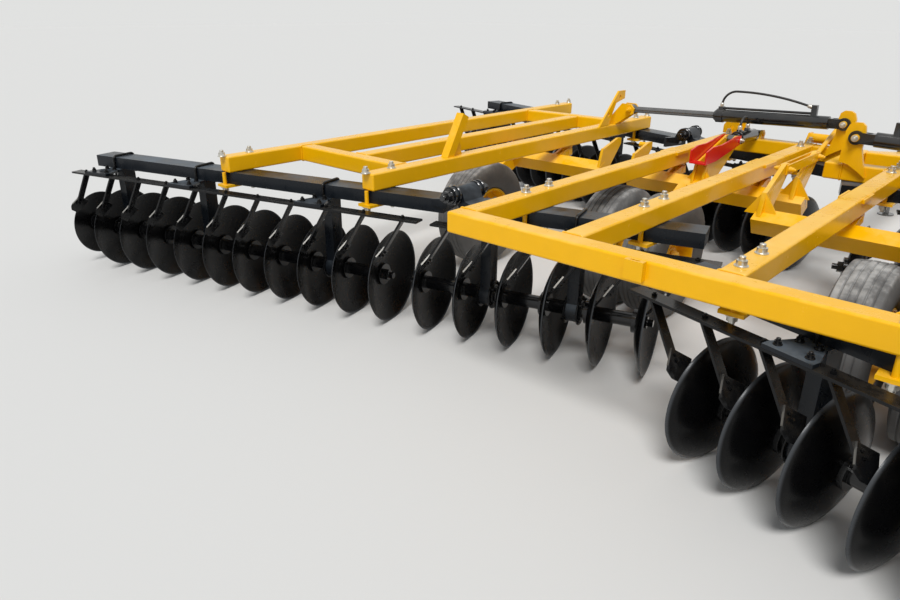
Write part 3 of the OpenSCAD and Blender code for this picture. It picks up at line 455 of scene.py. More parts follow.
# The beams' blue-grey top colour is a painted sky reflection on their upward faces, in patches.
blue_black = finish("satin_blue_black_paint", (0.0060, 0.0080, 0.0110), 0.28, coat=0.08, specular=0.22,
                    dust_and_light=0.42, patches=3.0, dust_and_light_colour=(0.26, 0.31, 0.36, 1))
blade_black = finish("gloss_blade_black", (0.0020, 0.0020, 0.0022), 0.28, coat=0.04, specular=0.17,
                     dust_and_light=0.02, patches=11.0)
plain_black = finish("black_paint", (0.0035, 0.0037, 0.0042), 0.26, coat=0.08, specular=0.22, dust_and_light=0.05,
                     patches=9.0)
axle_black = finish("gloss_axle_black", (0.0030, 0.0032, 0.0038), 0.18, coat=0.25, specular=0.35, dust_and_light=0.02,
                    patches=14.0)
cylinder_black = finish("cylinder_gloss_black", (0.0060, 0.0066, 0.0080), 0.16, coat=0.6, dust_and_light=0.06)
link_red = finish("gloss_red_paint", (0.72, 0.011, 0.009), 0.24, coat=0.25, specular=0.3, dust_and_light=0.03)
zinc = finish("bright_zinc", (0.62, 0.60, 0.54), 0.34, metallic=0.85, dust_and_light=0.15, patches=40.0, bump=0.1)
chrome = finish("chromed_rod", (0.19, 0.19, 0.19), 0.24, metallic=1.0, dust_and_light=0.10, patches=20.0, bump=0.01)
rubber = finish("worn_tyre_rubber", (0.120, 0.118, 0.115), 0.85, specular=0.3, dust_and_light=0.80, patches=9.0,
                grain=220.0, bump=0.5, shade=0.25, dust_and_light_colour=(0.50, 0.49, 0.47, 1))
worn_edge = finish("worn_bright_edge", (0.17, 0.165, 0.155), 0.40, metallic=0.9, dust_and_light=0.10, patches=40.0,
                   bump=0.05)
hose_rubber = finish("hydraulic_hose_rubber", (0.010, 0.010, 0.011), 0.50, dust_and_light=0.15, patches=30.0,
                     grain=500.0, bump=0.2)

# The rim's paler colour is partly bare ground steel and partly a painted sheen along the rim.
RIM_STEEL_AND_SHEEN = (0.045, 0.048, 0.052, 1)
blade_tree = blade_black.node_tree
reach = blade_tree.nodes.new("ShaderNodeAttribute")
reach.attribute_name = "along"
RIM_FROM, RIM_TO = 0.955, 0.990
rim_share = ramp_node(blade_tree, reach.outputs["Fac"], RIM_FROM, RIM_TO)
base_colour = blade_tree.nodes["Principled BSDF"].inputs["Base Color"]
painted = base_colour.links[0].from_socket
blade_tree.links.new(mix_node(blade_tree, rim_share, painted, RIM_STEEL_AND_SHEEN), base_colour)
print("finishes", len(bpy.data.materials))

# %% [markdown]
# ## Hydraulic hoses
# Each wing has a fold cylinder and each pair of wheels a lift cylinder, and a hose bows over each
# from the port at the rod's end to the port at the base. A pressure hose is stiff, so it stands
# in smooth bows instead of hanging. Both routes are arcs: the fold hose turns up through a
# quarter circle and comes down along a wide one, and the lift hose is a half circle.

# %% Four hoses
HOSE_R = 0.008
FRONT_CROSS_Y = gang_line("front", INNER_X) - 0.020
TOWER_PIN = np.array((0.105, FRONT_CROSS_Y - 0.0143, 1.085))
WING_PIN = np.array((1.690, FRONT_CROSS_Y - 0.0143, 1.038))
BARREL_R, BARREL_END = 0.044, 0.870
PORTS = (0.235, BARREL_END - 0.022)
HOSE_BASE, HOSE_STEP, HOSE_BOW = BARREL_R + 0.032, 0.024, 0.100
ROCK = np.array((0, 2.320, 0.768))
LIFT_X = 0.700
LIFT_BASE = np.array((LIFT_X, FRONT_CROSS_Y + 0.066, FRAME_TOP + 0.032))
LIFT_EYE = np.array((LIFT_X, ROCK[1] + 0.300, ROCK[2] + 0.190))
LIFT_LONG = float(np.linalg.norm(LIFT_EYE - LIFT_BASE))
LIFT_R = 0.042
LIFT_PORTS = (0.200, LIFT_LONG - 0.115)
CYLINDERS = {"fold": (TOWER_PIN, WING_PIN), "lift": (LIFT_BASE, LIFT_EYE)}


def along(base, tip):
    """The matrix of a cylinder's own frame: X from base to tip, Z its upper side."""
    x = (tip - base) / np.linalg.norm(tip - base)
    y = np.cross((0, 0, 1), x)
    y /= np.linalg.norm(y)
    place = np.eye(4)
    place[:3, 0], place[:3, 1], place[:3, 2], place[:3, 3] = x, y, np.cross(x, y), base
    return place


def fold_route():
    """A quarter circle up from the far port, then an arc whose radius R follows from its run and
    fall, R = (run^2 + fall^2) / (2 fall), down to the near port."""
    run, fall = PORTS[1] - PORTS[0] - HOSE_BOW, HOSE_BOW - HOSE_STEP
    wide = (run**2 + fall**2) / (2 * fall)
    turned = math.degrees(math.asin(run / wide))
    x = PORTS[1] - HOSE_BOW
    tight = bend((x, 0, HOSE_BASE), HOSE_BOW, 0, 90, 16, (1, 0, 0), (0, 0, 1))
    broad = bend((x, 0, HOSE_BASE + HOSE_BOW - wide), wide, 90, 90 + turned, 20, (1, 0, 0), (0, 0, 1))
    return np.concatenate([tight, broad[1:]])


def lift_route():
    """A half circle between the two ports."""
    middle, reach = sum(LIFT_PORTS) / 2, (LIFT_PORTS[1] - LIFT_PORTS[0]) / 2
    return bend((middle, 0, LIFT_R + 0.026), reach, 0, 180, 26, (1, 0, 0), (0, 0, 1))


ROUTES = {"fold": fold_route(), "lift": lift_route()}
for side in SIDES:
    for kind, route in ROUTES.items():
        place = half(side) @ along(*CYLINDERS[kind])
        path = route @ place[:3, :3].T + place[:3, 3]
        points, faces = sweep(path, HOSE_R, place[:3, 1], 16)
        name = f"{side}_{kind}_rubber"
        hose = show(name, mesh_from(name, points, faces), hose_rubber, f"{side}_{kind}_barrel", "hose", 60.0,
                    (f"{side}_{kind}_hose",))
        long = float(np.linalg.norm(np.diff(path, axis=0), axis=1).sum())
        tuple(path[0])
        print(side, kind, "hose", round(long, 3))

# %% [markdown]
# ## Rounded steel
# The CAD solids have knife-sharp edges. Real square tube has a corner radius of about a tenth of
# its side, and flame-cut plate has a small broken edge. Each CAD mesh is copied, its loose
# triangles are joined, and each solid gets a bevel that fits its thickness, which is twice its
# volume over its surface.

# %% Copies of the steel with rounded edges
THICK_CORE = 0.034
ROD_CORE = (0.0070, 0.0083)
TUBE_ROUND = 0.011
BEAM_ROUND = 0.014
PLATE_ROUND = 0.0022
SHARP_FROM = 35
JOIN_GAP, FLAT_WITHIN = 1e-5, 0.6


def merged(node):
    """The node's triangles with their common points joined and flat faces made one."""
    steel = bmesh.new()
    steel.from_mesh(frame["nodes"][node].data)
    bmesh.ops.remove_doubles(steel, verts=steel.verts, dist=JOIN_GAP)
    flat = math.radians(FLAT_WITHIN)
    bmesh.ops.dissolve_limit(steel, angle_limit=flat, verts=steel.verts, edges=steel.edges)
    return steel


def solids(steel):
    """Groups of faces that hang together, each with its thickness, 2 x volume / surface."""
    left = set(steel.faces)
    while left:
        group = {left.pop()}
        edge = list(group)
        while edge:
            near = {f for e in edge.pop().edges for f in e.link_faces} & left
            left -= near
            group |= near
            edge.extend(near)
        volume = sum(f.calc_center_median().dot(f.normal) * f.calc_area() for f in group) / 3
        yield group, 2 * volume / sum(f.calc_area() for f in group)


def dressed(node, material, slot, thick_round=TUBE_ROUND, skip_rods=False):
    """Rounded copies of a CAD node: its thick solids as one piece and its thin ones as another.
    The square-cornered U-bolts of the beams are left out, as bent ones are made for them."""
    whole = merged(node)
    thick, thin = set(), set()
    for group, core in solids(whole):
        if core > THICK_CORE:
            thick |= {f.index for f in group}
        elif not (skip_rods and ROD_CORE[0] < core < ROD_CORE[1]):
            thin |= {f.index for f in group}
    whole.free()
    made = []
    for name, keep, width, cuts in (("thick", thick, thick_round, 3), ("thin", thin, PLATE_ROUND, 2)):
        if not keep:
            continue
        part = merged(node)
        part.faces.ensure_lookup_table()
        gone = [f for f in part.faces if f.index not in keep]
        bmesh.ops.delete(part, geom=gone, context="FACES")
        mesh = bpy.data.meshes.new(f"{node}_{name}")
        part.to_mesh(mesh)
        part.free()
        body = frame["nodes"][node]["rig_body"]
        piece = show(f"{node}_{name}", mesh, material, body, slot, SHARP_FROM, (node,))
        edge = piece.modifiers.new("rounded", "BEVEL")
        edge.width = width
        edge.segments = cuts
        edge.limit_method = "ANGLE"
        edge.angle_limit = math.radians(SHARP_FROM)
        edge.harden_normals = True
        made.append(piece)
    return made


def each(*names):
    """The names of nodes that are there on the left and on the right."""
    return [f"{side}_{name}" for name in names for side in SIDES]


STEEL = [
    (yellow, "paint", TUBE_ROUND, ["centre_frame", "fold_tower", *each("wing_frame"), "tongue",
                                   *each("rockshaft", "wing_rockshaft"), "hitch_plate", "level_link",
                                   "sync_link", *each("twin_rims", "wing_rim")]),
    (blue_black, "beam", BEAM_ROUND, ["rear_centre_beams", "front_centre_beams", *each("wing_beams")]),
    (plain_black, "black", TUBE_ROUND, ["rear_centre_scrapers", "front_centre_scrapers",
                                        *each("wing_scrapers"), "jack_tube"]),
    (cylinder_black, "cylinder", TUBE_ROUND, each("fold_barrel", "lift_barrel")),
    (chrome, "rod", TUBE_ROUND, [*each("fold_rod", "lift_rod"), "jack_leg"]),
    (link_red, "lock", TUBE_ROUND, each("lock_link")),
]
rounded = [piece for material, slot, round_off, nodes in STEEL for node in nodes
           for piece in dressed(node, material, slot, round_off, slot == "beam")]
print("rounded pieces", len(rounded))

# %% [markdown]
# ## Blades
# A disc blade is a shallow bowl cut from a sphere, with its edge ground sharp from the back. The
# profile runs out along the back sphere, over the edge and back along the hollow, and is turned
# about the axle. One shape is made and copied along each gang.

# %% Dished blades
BORE_R = 0.0195
EDGE_GRIND, EDGE_T = 0.014, 0.0012
RINGS = 9
AROUND = 96


def blade_shape(radius):
    """Profile x = c - sqrt(R^2 - r^2) on the two spheres about one centre, R apart by the
    blade's thickness, from the axle hole to the rim. Over the last stretch the back sphere is
    ground in to meet the hollow one."""
    centre = DISH_R + BLADE_T / 2
    r = np.concatenate([np.linspace(BORE_R, radius - EDGE_GRIND, RINGS), [radius]])
    back = centre - np.sqrt((DISH_R + BLADE_T) ** 2 - r**2)
    hollow = centre - np.sqrt(DISH_R**2 - r**2)
    back[-1] = hollow[-1] - EDGE_T
    profile = np.concatenate([np.stack([back, r], 1), np.stack([hollow, r], 1)[::-1]])
    along = np.repeat(profile[:, 1] / radius, AROUND)
    return lathe(profile, AROUND), grid_faces(len(profile), AROUND, True, True)[:, ::-1], along


ROW_FLIP = {"rear": np.diag([-1.0, 1, 1, 1]), "front": np.eye(4)}
full_blade = blade_shape(BLADE_R)
end_blade = blade_shape(END_BLADE_R)
for row, side, part in GANGS:
    gang = f"{row}_{side}_{part}"
    places = [on_gang(row, side) @ shift(x, 0, 0) @ ROW_FLIP[row] for x in crowns(row, part)]
    has_end = row == "rear" and part == "wing"
    full_places = places[:-1] if has_end else places
    shapes = [spread(*full_blade[:2], full_places)]
    values = [np.tile(full_blade[2], len(full_places))]
    if has_end:
        shapes.append(spread(*end_blade[:2], places[-1:]))
        values.append(end_blade[2])
    mesh = mesh_from(f"{gang}_blades", *together(shapes), np.concatenate(values))
    show(f"{gang}_blades", mesh, blade_black, f"{gang}_gang", "disc", 50.0, (f"{gang}_discs",))
    dressed(f"{gang}_spools", axle_black, "black")
print("a blade has", len(full_blade[1]), "faces")

# %% [markdown]
# ## Tyres
# Implement tyres carry their load without pulling, so their tread is plain ribs round the tyre.
# The tread is a crowned band with rounded grooves let into it, and the walls bulge from bead to
# shoulder.

# %% Ribbed tyres
TYRE_R = 0.378
BEAD_R, BEAD_X = 0.1908, 0.088
TREAD_HALF, CROWN = 0.096, 0.010
SHOULDER, WALL_X, WALL_BULGE = 0.012, 0.100, 0.020
GROOVES = np.array([-0.066, -0.033, 0.0, 0.033, 0.066])
GROOVE_DEEP = 0.007
GROOVE_WIDE = 0.0035
TYRE_AROUND = 120
AXLE_Y = 1.580
OFF_GROUND = 0.012
AXLE_Z = TYRE_R + OFF_GROUND


def tyre_shape():
    """Tread radius = crown - square of the distance from the middle, less a bell-shaped groove
    at each groove's place. A wall is an arc that bulges between bead and shoulder."""
    across = np.linspace(-TREAD_HALF, TREAD_HALF, 97)
    tread = TYRE_R - CROWN * (across / TREAD_HALF) ** 2
    tread = tread - (GROOVE_DEEP * np.exp(-((across[:, None] - GROOVES) / GROOVE_WIDE) ** 2)).sum(1)
    up = np.linspace(0, 1, 15)[1:-1]
    wall_r = BEAD_R + (TYRE_R - SHOULDER - BEAD_R) * up
    wall_x = WALL_X + WALL_BULGE * np.sin(np.pi * np.clip(up * 1.05, 0, 1)) ** 0.8
    wall = np.stack([wall_x, wall_r], 1)
    profile = np.concatenate([
        [[-BEAD_X, BEAD_R]], wall * [-1, 1], np.stack([across, tread], 1), wall[::-1], [[BEAD_X, BEAD_R]],
    ])
    return lathe(profile, TYRE_AROUND), grid_faces(len(profile), TYRE_AROUND, True, True)[:, ::-1]


tyre = tyre_shape()
WHEELS = [((0.612, 0.948), "twin_wheels", "twin_tyres"), ((2.075,), "wing_wheel", "wing_tyre")]
for side in SIDES:
    for wheel_x, body, node in WHEELS:
        places = [half(side) @ shift(x, AXLE_Y, AXLE_Z) for x in wheel_x]
        copies(f"{side}_{node}_ribbed", tyre, places, rubber, f"{side}_{body}", "tyre", 60.0,
               (f"{side}_{node}",))
print("a tyre has", len(tyre[1]), "faces")

# %% [markdown]
# ## Bolts
# Where a frame tube crosses a gang beam, two long bolts go down through the tube and the clamp.
# Each shows a washer, a hexagon nut and a threaded tip, all in bright zinc. The same shape in
# other sizes, most of it painted over, holds the bearings, scrapers, pins and wheels.

# %% Bolts over the gang beams
BOLT_REACH = (BEAM_HALF + 0.020) / math.cos(GANG_ANGLE)
BOLT = [(0, 0.0), (0, 0.027), (0.004, 0.027), (0.004, 0.0215), (0.0055, 0.0225), (0.0225, 0.0225),
        (0.024, 0.0205), (0.024, 0.0125), (0.038, 0.0125), (0.040, 0.0105), (0.040, 0.0)]
BOLT_HEX = [0, 0, 0, 0, 1, 1, 0, 0, 0, 0, 0]
SMALL = [(0, 0.0), (0, 0.0215), (0.0180, 0.0215), (0.0180, 0.0125), (0.030, 0.0125), (0.030, 0.0)]
SMALL_HEX = [0, 1, 1, 0, 0, 0]
UP, DOWN = (0, 0, 1), (0, 0, -1)
CLAMPED = {"centre": (INNER_X, OUTER_X), "wing": (WING_INNER_X, WING_OUTER_X)}


def turned(profile, around, hexness=None):
    """A profile that starts and ends on the axle, turned about it as a (points, faces) shape."""
    return lathe(profile, around, hexness), grid_faces(len(profile), around, False, True)[:, ::-1]


bolt_shape = turned(BOLT, 18, BOLT_HEX)
small_shape = turned(SMALL, 12, SMALL_HEX)


def bolts(name, body, places, material, slot, size=1.0, shape=bolt_shape):
    """One piece of bolts: the bolt's shape, times its size, at each of the places."""
    return copies(name, (shape[0] * size, shape[1]), places, material, body, slot, 30.0)


for side, part in HALVES:
    spots = [(x, gang_line(row, x) + reach) for x in CLAMPED[part] for row in ROWS
             for reach in (-BOLT_REACH, BOLT_REACH)]
    tops = [half(side) @ stand((x, y, FRAME_TOP), UP) for x, y in spots]
    bolts(f"{side}_{part}_clamp_bolts", carrier(side, part), tops, zinc, "rod")
    under = [half(side) @ stand((x, y, CLAMP_TOP - CLAMP_T), DOWN) for x, y in spots]
    bolts(f"{side}_{part}_clamp_nuts", carrier(side, part), under, zinc, "rod")
    print(side, part, "clamp bolts", len(spots))

# %% [markdown]
# ## U-bolts and bearings
# Each bearing standard hangs from its beam by a U-bolt of round rod, bent over the beam's top with
# a nut under the plate at each leg. The rod is a path of straight legs and two quarter circles.
# The innermost one at the front has no loop, as the cross tube lies there on the beam. The bearing
# under each standard has a round flange on each side, held by four bolts.

# %% Bent rods and bearing flanges
ROD_R = 0.008
LEG_Y = BEAM_HALF + ROD_R + 0.001
CORNER_R = 0.024
ROD_TOP = BEAM_TOP + ROD_R + SEAT
ROD_LOW = CLAMP_TOP - CLAMP_T - 0.034
SIDEWAYS, ALONG_Z = np.array((0, 1.0, 0)), np.array((0, 0, 1.0))
FLANGE_T, FLANGE_CIRCLE = 0.012, 0.070
FLANGE = [(0, 0.0395), (0, 0.079), (0.003, 0.082), (0.009, 0.082), (FLANGE_T, 0.079), (FLANGE_T, 0.060),
          (0.020, 0.056), (0.020, 0.0395)]
FLANGE_AT = 0.030
BRACKET_BOLTS = ((-0.060, 0.208), (0.060, 0.208), (-0.036, 0.122), (0.036, 0.122))
UNDER_CROSS_TUBE = 0.5


def bent_rod():
    """Legs at y = +-LEG_Y, joined over the top by two quarter circles and a straight."""
    turn_y, turn_z = LEG_Y - CORNER_R, ROD_TOP - CORNER_R
    left_bend = bend((0, -turn_y, turn_z), CORNER_R, 180, 90, 7, SIDEWAYS, ALONG_Z)
    right_bend = bend((0, turn_y, turn_z), CORNER_R, 90, 0, 7, SIDEWAYS, ALONG_Z)
    path = np.concatenate([[(0, -LEG_Y, ROD_LOW)], left_bend, right_bend, [(0, LEG_Y, ROD_LOW)]])
    return sweep(path, ROD_R, (1, 0, 0), 12)


def flange_bolt(way, angle):
    """The place of one of a flange's bolts, on a circle about the axle."""
    y, z = FLANGE_CIRCLE * math.cos(angle), BLADE_R + FLANGE_CIRCLE * math.sin(angle)
    return stand((way * (FLANGE_AT + FLANGE_T), y, z), (way, 0, 0))


rod_shape = bent_rod()
flange_shape = lathe(FLANGE, 36), grid_faces(len(FLANGE), 36, True, True)[:, ::-1]
for side, part in HALVES:
    over, nuts, flanges, flange_bolts, bar_bolts = [], [], [], [], []
    for row in ROWS:
        line = on_gang(row, side)
        for at in bearing_places(row, part):
            place = line @ shift(0, 0, -BLADE_R) @ shift(at, 0, 0)
            if not (row == "front" and part == "centre" and at < UNDER_CROSS_TUBE):
                over.append(place)
            nuts += [place @ stand((0, leg, CLAMP_TOP - CLAMP_T), DOWN) for leg in (-LEG_Y, LEG_Y)]
            flanges += [place @ stand((way * FLANGE_AT, 0, BLADE_R), (way, 0, 0)) for way in (-1, 1)]
            flange_bolts += [place @ flange_bolt(way, a) for way in (-1, 1)
                             for a in np.radians((45, 135, 225, 315))]
            bar_bolts += [place @ stand((x, -y, CLAMP_TOP), UP) for x, y in BRACKET_BOLTS]
    body, label = carrier(side, part), f"{side}_{part}"
    copies(f"{label}_u_bolts", rod_shape, over, plain_black, body, "beam", 50.0)
    bolts(f"{label}_u_bolt_nuts", body, nuts, plain_black, "beam", 0.62)
    copies(f"{label}_flanges", flange_shape, flanges, plain_black, body, "beam")
    bolts(f"{label}_flange_bolts", body, flange_bolts, plain_black, "beam", 0.45, small_shape)
    bolts(f"{label}_bracket_bolts", body, bar_bolts, plain_black, "beam", 0.62)
print("a bent rod has", len(rod_shape[1]), "faces")

# %% [markdown]
# ## Scraper fixings
# Each scraper arm leans from the bar to the hollow side of its blade. Two small bolts hold the
# steel at its foot and one holds it to the bar, all painted over in black. Only the steel's own
# rear edge is worn bright.

# %% Bolts of the scrapers
ARM_IN, ARM_OUT, ARM_FOOT_Z = 0.078, 0.200, 0.235
ARM_HALF = 0.006
BAR_BACK = 0.208
BAR_T = 0.012
BAR_TOP = CLAMP_TOP - CLAMP_T - SEAT
ARM_RISE = BAR_TOP - BAR_T - BLADE_R - SEAT - ARM_FOOT_Z
ARM_LEAN = math.degrees(math.atan2(ARM_OUT - ARM_IN, ARM_RISE))
ARM_FOOT = Matrix.Translation((DISH + ARM_IN, -BAR_BACK, ARM_FOOT_Z)) @ turn(ARM_LEAN, "Y")
STEEL_T, STEEL_H, STEEL_BACK, STEEL_TURN = 0.008, 0.118, 0.014, 37
CLEAR = 0.006
WORN = 0.0016
SCREW_UP = (-0.010, -0.034)
SCREW_BACK = 0.0145


def worn_edge_shape():
    """A thin box along the steel's rear edge. It stops where that edge would reach the sphere that
    the blade's hollow is part of."""
    corner = Matrix.Translation((-ARM_HALF - SEAT - STEEL_T, 0, 0)) @ turn(-STEEL_TURN, "X")
    foot = np.array(ARM_FOOT @ corner)
    height = np.linspace(STEEL_BACK - STEEL_H, STEEL_BACK, 40)
    line = np.stack([np.zeros(40), np.full(40, -STEEL_BACK), height, np.ones(40)], 1) @ foot.T
    centre = np.array((DISH_R + BLADE_T / 2, 0, 0))
    free = height[np.linalg.norm(line[:, :3] - centre, axis=1) < DISH_R - CLEAR]
    box = np.array([(x, y, z, 1) for x in (0, STEEL_T) for y in (-STEEL_BACK - WORN, -STEEL_BACK)
                    for z in (free.min(), free.max())], float)
    return (box @ foot.T)[:, :3], BOX_FACES


edge_shape = worn_edge_shape()
for side, part in HALVES:
    screws, bar_nuts, arms = [], [], []
    for row in ROWS:
        for at in crowns(row, part):
            arm = on_gang(row, side) @ shift(at, 0, 0) @ ROW_FLIP[row]
            for up in SCREW_UP:
                screws.append(arm @ np.array(ARM_FOOT) @ stand((ARM_HALF, 0, up), (1, 0, 0)))
                screws.append(arm @ np.array(ARM_FOOT) @ stand((-SCREW_BACK, 0, up), (-1, 0, 0)))
            bar_nuts.append(arm @ stand((DISH + ARM_OUT, -BAR_BACK, BAR_TOP - BLADE_R), UP))
            arms.append(arm)
    body, label = carrier(side, part), f"{side}_{part}"
    bolts(f"{label}_scraper_bolts", body, screws, plain_black, "black", 0.42, small_shape)
    bolts(f"{label}_arm_bolts", body, bar_nuts, plain_black, "black", 0.55, small_shape)
    copies(f"{label}_scraper_edges", edge_shape, arms, worn_edge, body, "rod", 30.0)
print("an arm leans", round(ARM_LEAN, 1), "degrees")

# %% [markdown]
# ## Fold knuckles
# A wing folds about two pins, one over each gang. Each ends in two large hexagon nuts, and the
# outer knuckles on it have a raised collar at both of their edges, which a short turned ring gives.

# %% Nuts and collars of the fold pins
FOLD_X, FOLD_Z = 1.320, 0.850
KNUCKLE_R, KNUCKLE_HALF, OUTER_KNUCKLE = 0.046, 0.075, 0.046
PIN_FACE = KNUCKLE_HALF + 0.001 + OUTER_KNUCKLE
COLLAR_T, COLLAR_IN, COLLAR_OUT = 0.012, 0.004, 0.007
COLLAR_BACK = (-OUTER_KNUCKLE + 0.0005, -COLLAR_T)


def ring(length, inner, outer, chamfer=0.003):
    """A turned ring along X with broken outer edges, closed through its bore."""
    profile = [(0, inner), (0, outer - chamfer), (chamfer, outer), (length - chamfer, outer),
               (length, outer - chamfer), (length, inner)]
    return lathe(profile, 40), grid_faces(6, 40, True, True)[:, ::-1]


collar_shape = ring(COLLAR_T, KNUCKLE_R - COLLAR_IN, KNUCKLE_R + COLLAR_OUT)
for side in SIDES:
    pins = [half(side) @ stand((FOLD_X, gang_line(row, FOLD_X) + way * PIN_FACE, FOLD_Z), (0, way, 0))
            for row in ROWS for way in (-1, 1)]
    bolts(f"{side}_fold_nuts", f"{side}_wing", pins, cylinder_black, "beam", 1.55)
    edges = [pin @ shift(back, 0, 0) for pin in pins for back in COLLAR_BACK]
    copies(f"{side}_fold_collars", collar_shape, edges, cylinder_black, f"{side}_wing", "beam", 35.0)
    print(side, "fold nuts", len(pins))

# %% [markdown]
# ## Pins of the cylinders and links
# The cylinders and links turn on pins. Those in plain sight have a nut at both ends: bright on the
# fold tower and the rockshafts, painted over on the wings and on the link between the rockshafts.
# A nut is the bolt's shape in another size, pointed along its pin.

# %% Nuts on the pins
SYNC_X, SYNC_UP, SYNC_FORE, SYNC_FACE = 0.100, 0.180, 0.120, 0.0355
TOWER_PIN_HALF, WING_PIN_HALF, LIFT_PIN_HALF = 0.054, 0.060, 0.062


def pin_ends(side, pin, way, half_long):
    """The places of a pin's two ends, half its length each way from its middle."""
    way = np.array(way, float)
    return [half(side) @ stand(pin + end * half_long * way, end * way) for end in (-1, 1)]


for side in SIDES:
    tower = pin_ends(side, TOWER_PIN, (0, 1, 0), TOWER_PIN_HALF)
    bolts(f"{side}_tower_pin_nuts", "centre", tower, zinc, "rod", 0.72)
    wing = pin_ends(side, WING_PIN, (0, 1, 0), WING_PIN_HALF)
    bolts(f"{side}_wing_pin_nuts", f"{side}_wing", wing, yellow, "paint", 0.78)
    lift = pin_ends(side, LIFT_EYE, (1, 0, 0), LIFT_PIN_HALF)
    bolts(f"{side}_lift_pin_nuts", f"{side}_rockshaft", lift, zinc, "rod", 0.66)
link_ends = [stand((-SYNC_X + way * SYNC_FACE, ROCK[1] + SYNC_FORE - back - MIDDLE_Y, ROCK[2] + SYNC_UP),
                   (way, 0, 0)) for way in (-1, 1) for back in (0, STAGGER)]
bolts("sync_link_nuts", "sync_link", link_ends, yellow, "paint", 0.62)
print("link nuts", len(link_ends))

# %% [markdown]
# ## Tabs beside the long tubes
# Over the rockshafts, each long tube carries a small flat bar on both sides, close under its top.
# A bar is the eight corners of a box with its edges broken by a bevel.

# %% Flat tabs
TAB = np.array((0.012, 0.180, 0.022))
TAB_Y, TAB_Z = ROCK[1] - 0.105, FRAME_TOP - 0.014


def slab(size):
    """A plain bar about its middle: the eight corners of a box, at half its size each way."""
    corners = np.array([(x, y, z) for x in (-1, 1) for y in (-1, 1) for z in (-1, 1)])
    return corners * np.asarray(size) / 2, BOX_FACES


for side in SIDES:
    tabs = [half(side) @ shift(x + way * (TUBE + TAB[0]) / 2, TAB_Y, TAB_Z)
            for x in (INNER_X, OUTER_X) for way in (-1, 1)]
    plates = copies(f"{side}_hanger_tabs", slab(TAB), tabs, yellow, "centre", "paint", 35.0)
    broken = plates.modifiers.new("rounded", "BEVEL")
    broken.width = PLATE_ROUND
    broken.segments = 2
    broken.harden_normals = True
    print(side, "tabs", len(tabs))

# %% [markdown]
# ## Glands and hose ends
# A cylinder's tube ends in a gland nut where its rod comes out, with a lip round the rod. Each
# hose ends in a crimped steel sleeve with a hexagon at its port. All of them are turned profiles.

# %% Glands, lips and hose ends
SLEEVE = [(0, 0.0), (0, 0.0165), (0.014, 0.0165), (0.014, 0.0132), (0.018, 0.0142), (0.026, 0.0134),
          (0.034, 0.0142), (0.042, 0.0134), (0.046, 0.0100), (0.046, 0.0)]
SLEEVE_HEX = [0, 1, 1, 0, 0, 0, 0, 0, 0, 0]
SLEEVE_BACK = 0.030
GLAND_T, GLAND_PROUD, GLAND_BACK = 0.058, 0.006, 0.048
LIP_T, LIP_IN, LIP_OUT = 0.016, 0.008, 0.010
GLANDS = {"fold": (0.0246, BARREL_R, BARREL_END), "lift": (0.0206, LIFT_R, LIFT_LONG - 0.090)}
sleeve_shape = turned(SLEEVE, 18, SLEEVE_HEX)
for side in SIDES:
    for kind, (bore, out, end) in GLANDS.items():
        place = half(side) @ along(*CYLINDERS[kind])
        body = f"{side}_{kind}_barrel"
        gland_place = place @ stand((end - GLAND_BACK, 0, 0), (1, 0, 0))
        lip_place = place @ stand((end + LIP_OUT, 0, 0), (1, 0, 0))
        gland = spread(*ring(GLAND_T, bore, out + GLAND_PROUD), [gland_place])
        lip = spread(*ring(LIP_T, bore, out - LIP_IN), [lip_place])
        mesh = mesh_from(f"{side}_{kind}_gland", *together([gland, lip]))
        show(f"{side}_{kind}_gland", mesh, cylinder_black, body, "cylinder", 35.0)
        route = ROUTES[kind]
        ends = []
        for first, second in ((route[0], route[1]), (route[-1], route[-2])):
            way = (second - first) / np.linalg.norm(second - first)
            ends.append(place @ stand(first - way * SLEEVE_BACK, way))
        copies(f"{side}_{kind}_sleeves", sleeve_shape, ends, zinc, body, "rod", 35.0)
print("a sleeve has", len(sleeve_shape[1]), "faces")

# %% [markdown]
# ## Wheel hubs
# Each wheel turns on two bearings in its hub. A pressed cap keeps the grease in at the free end of
# the axle, and six nuts hold the rim to the hub.

# %% Hub caps and wheel nuts
HUB_FACE = 0.058
STUD_CIRCLE, STUDS = 0.100, 6
RIM_FACE = {1: 0.014, -1: 0.006}
HUB_CAP = [(0, 0.0), (0, 0.044), (0.006, 0.046), (0.030, 0.040), (0.037, 0.030), (0.039, 0.0)]
cap_shape = turned(HUB_CAP, 32)
stud_angles = np.radians(np.arange(STUDS) * 360 / STUDS)
for side in SIDES:
    for wheel_x, body, node in WHEELS:
        caps, studs = [], []
        for x in wheel_x:
            way = 1 if len(wheel_x) > 1 and x == max(wheel_x) else -1
            hub = half(side) @ shift(x, AXLE_Y, AXLE_Z)
            caps.append(hub @ stand((way * HUB_FACE, 0, 0), (way, 0, 0)))
            studs += [hub @ stand((way * RIM_FACE[way], STUD_CIRCLE * math.cos(a), STUD_CIRCLE * math.sin(a)),
                                  (way, 0, 0)) for a in stud_angles]
        bolts(f"{side}_{node}_hub_caps", f"{side}_{body}", caps, yellow, "paint", 1.0, cap_shape)
        bolts(f"{side}_{node}_studs", f"{side}_{body}", studs, zinc, "rod", 0.75)
        print(side, node, "studs", len(studs))

# %% [markdown]
# ## Weld beads
# Where tube meets tube, a welder leaves a bead of overlapping drops. Each bead is a thin rod that
# runs round the joint, and its radius swells and shrinks a little with the drops.

# %% Beads round the tube joints
WELD_R, DROP, SWELL = 0.0042, 0.011, 0.18
WELD_CORNER = 0.010
WING_CROSS_Y = (0.544, 3.110)
TUBE_MID_Z = FRAME_TOP - TUBE / 2


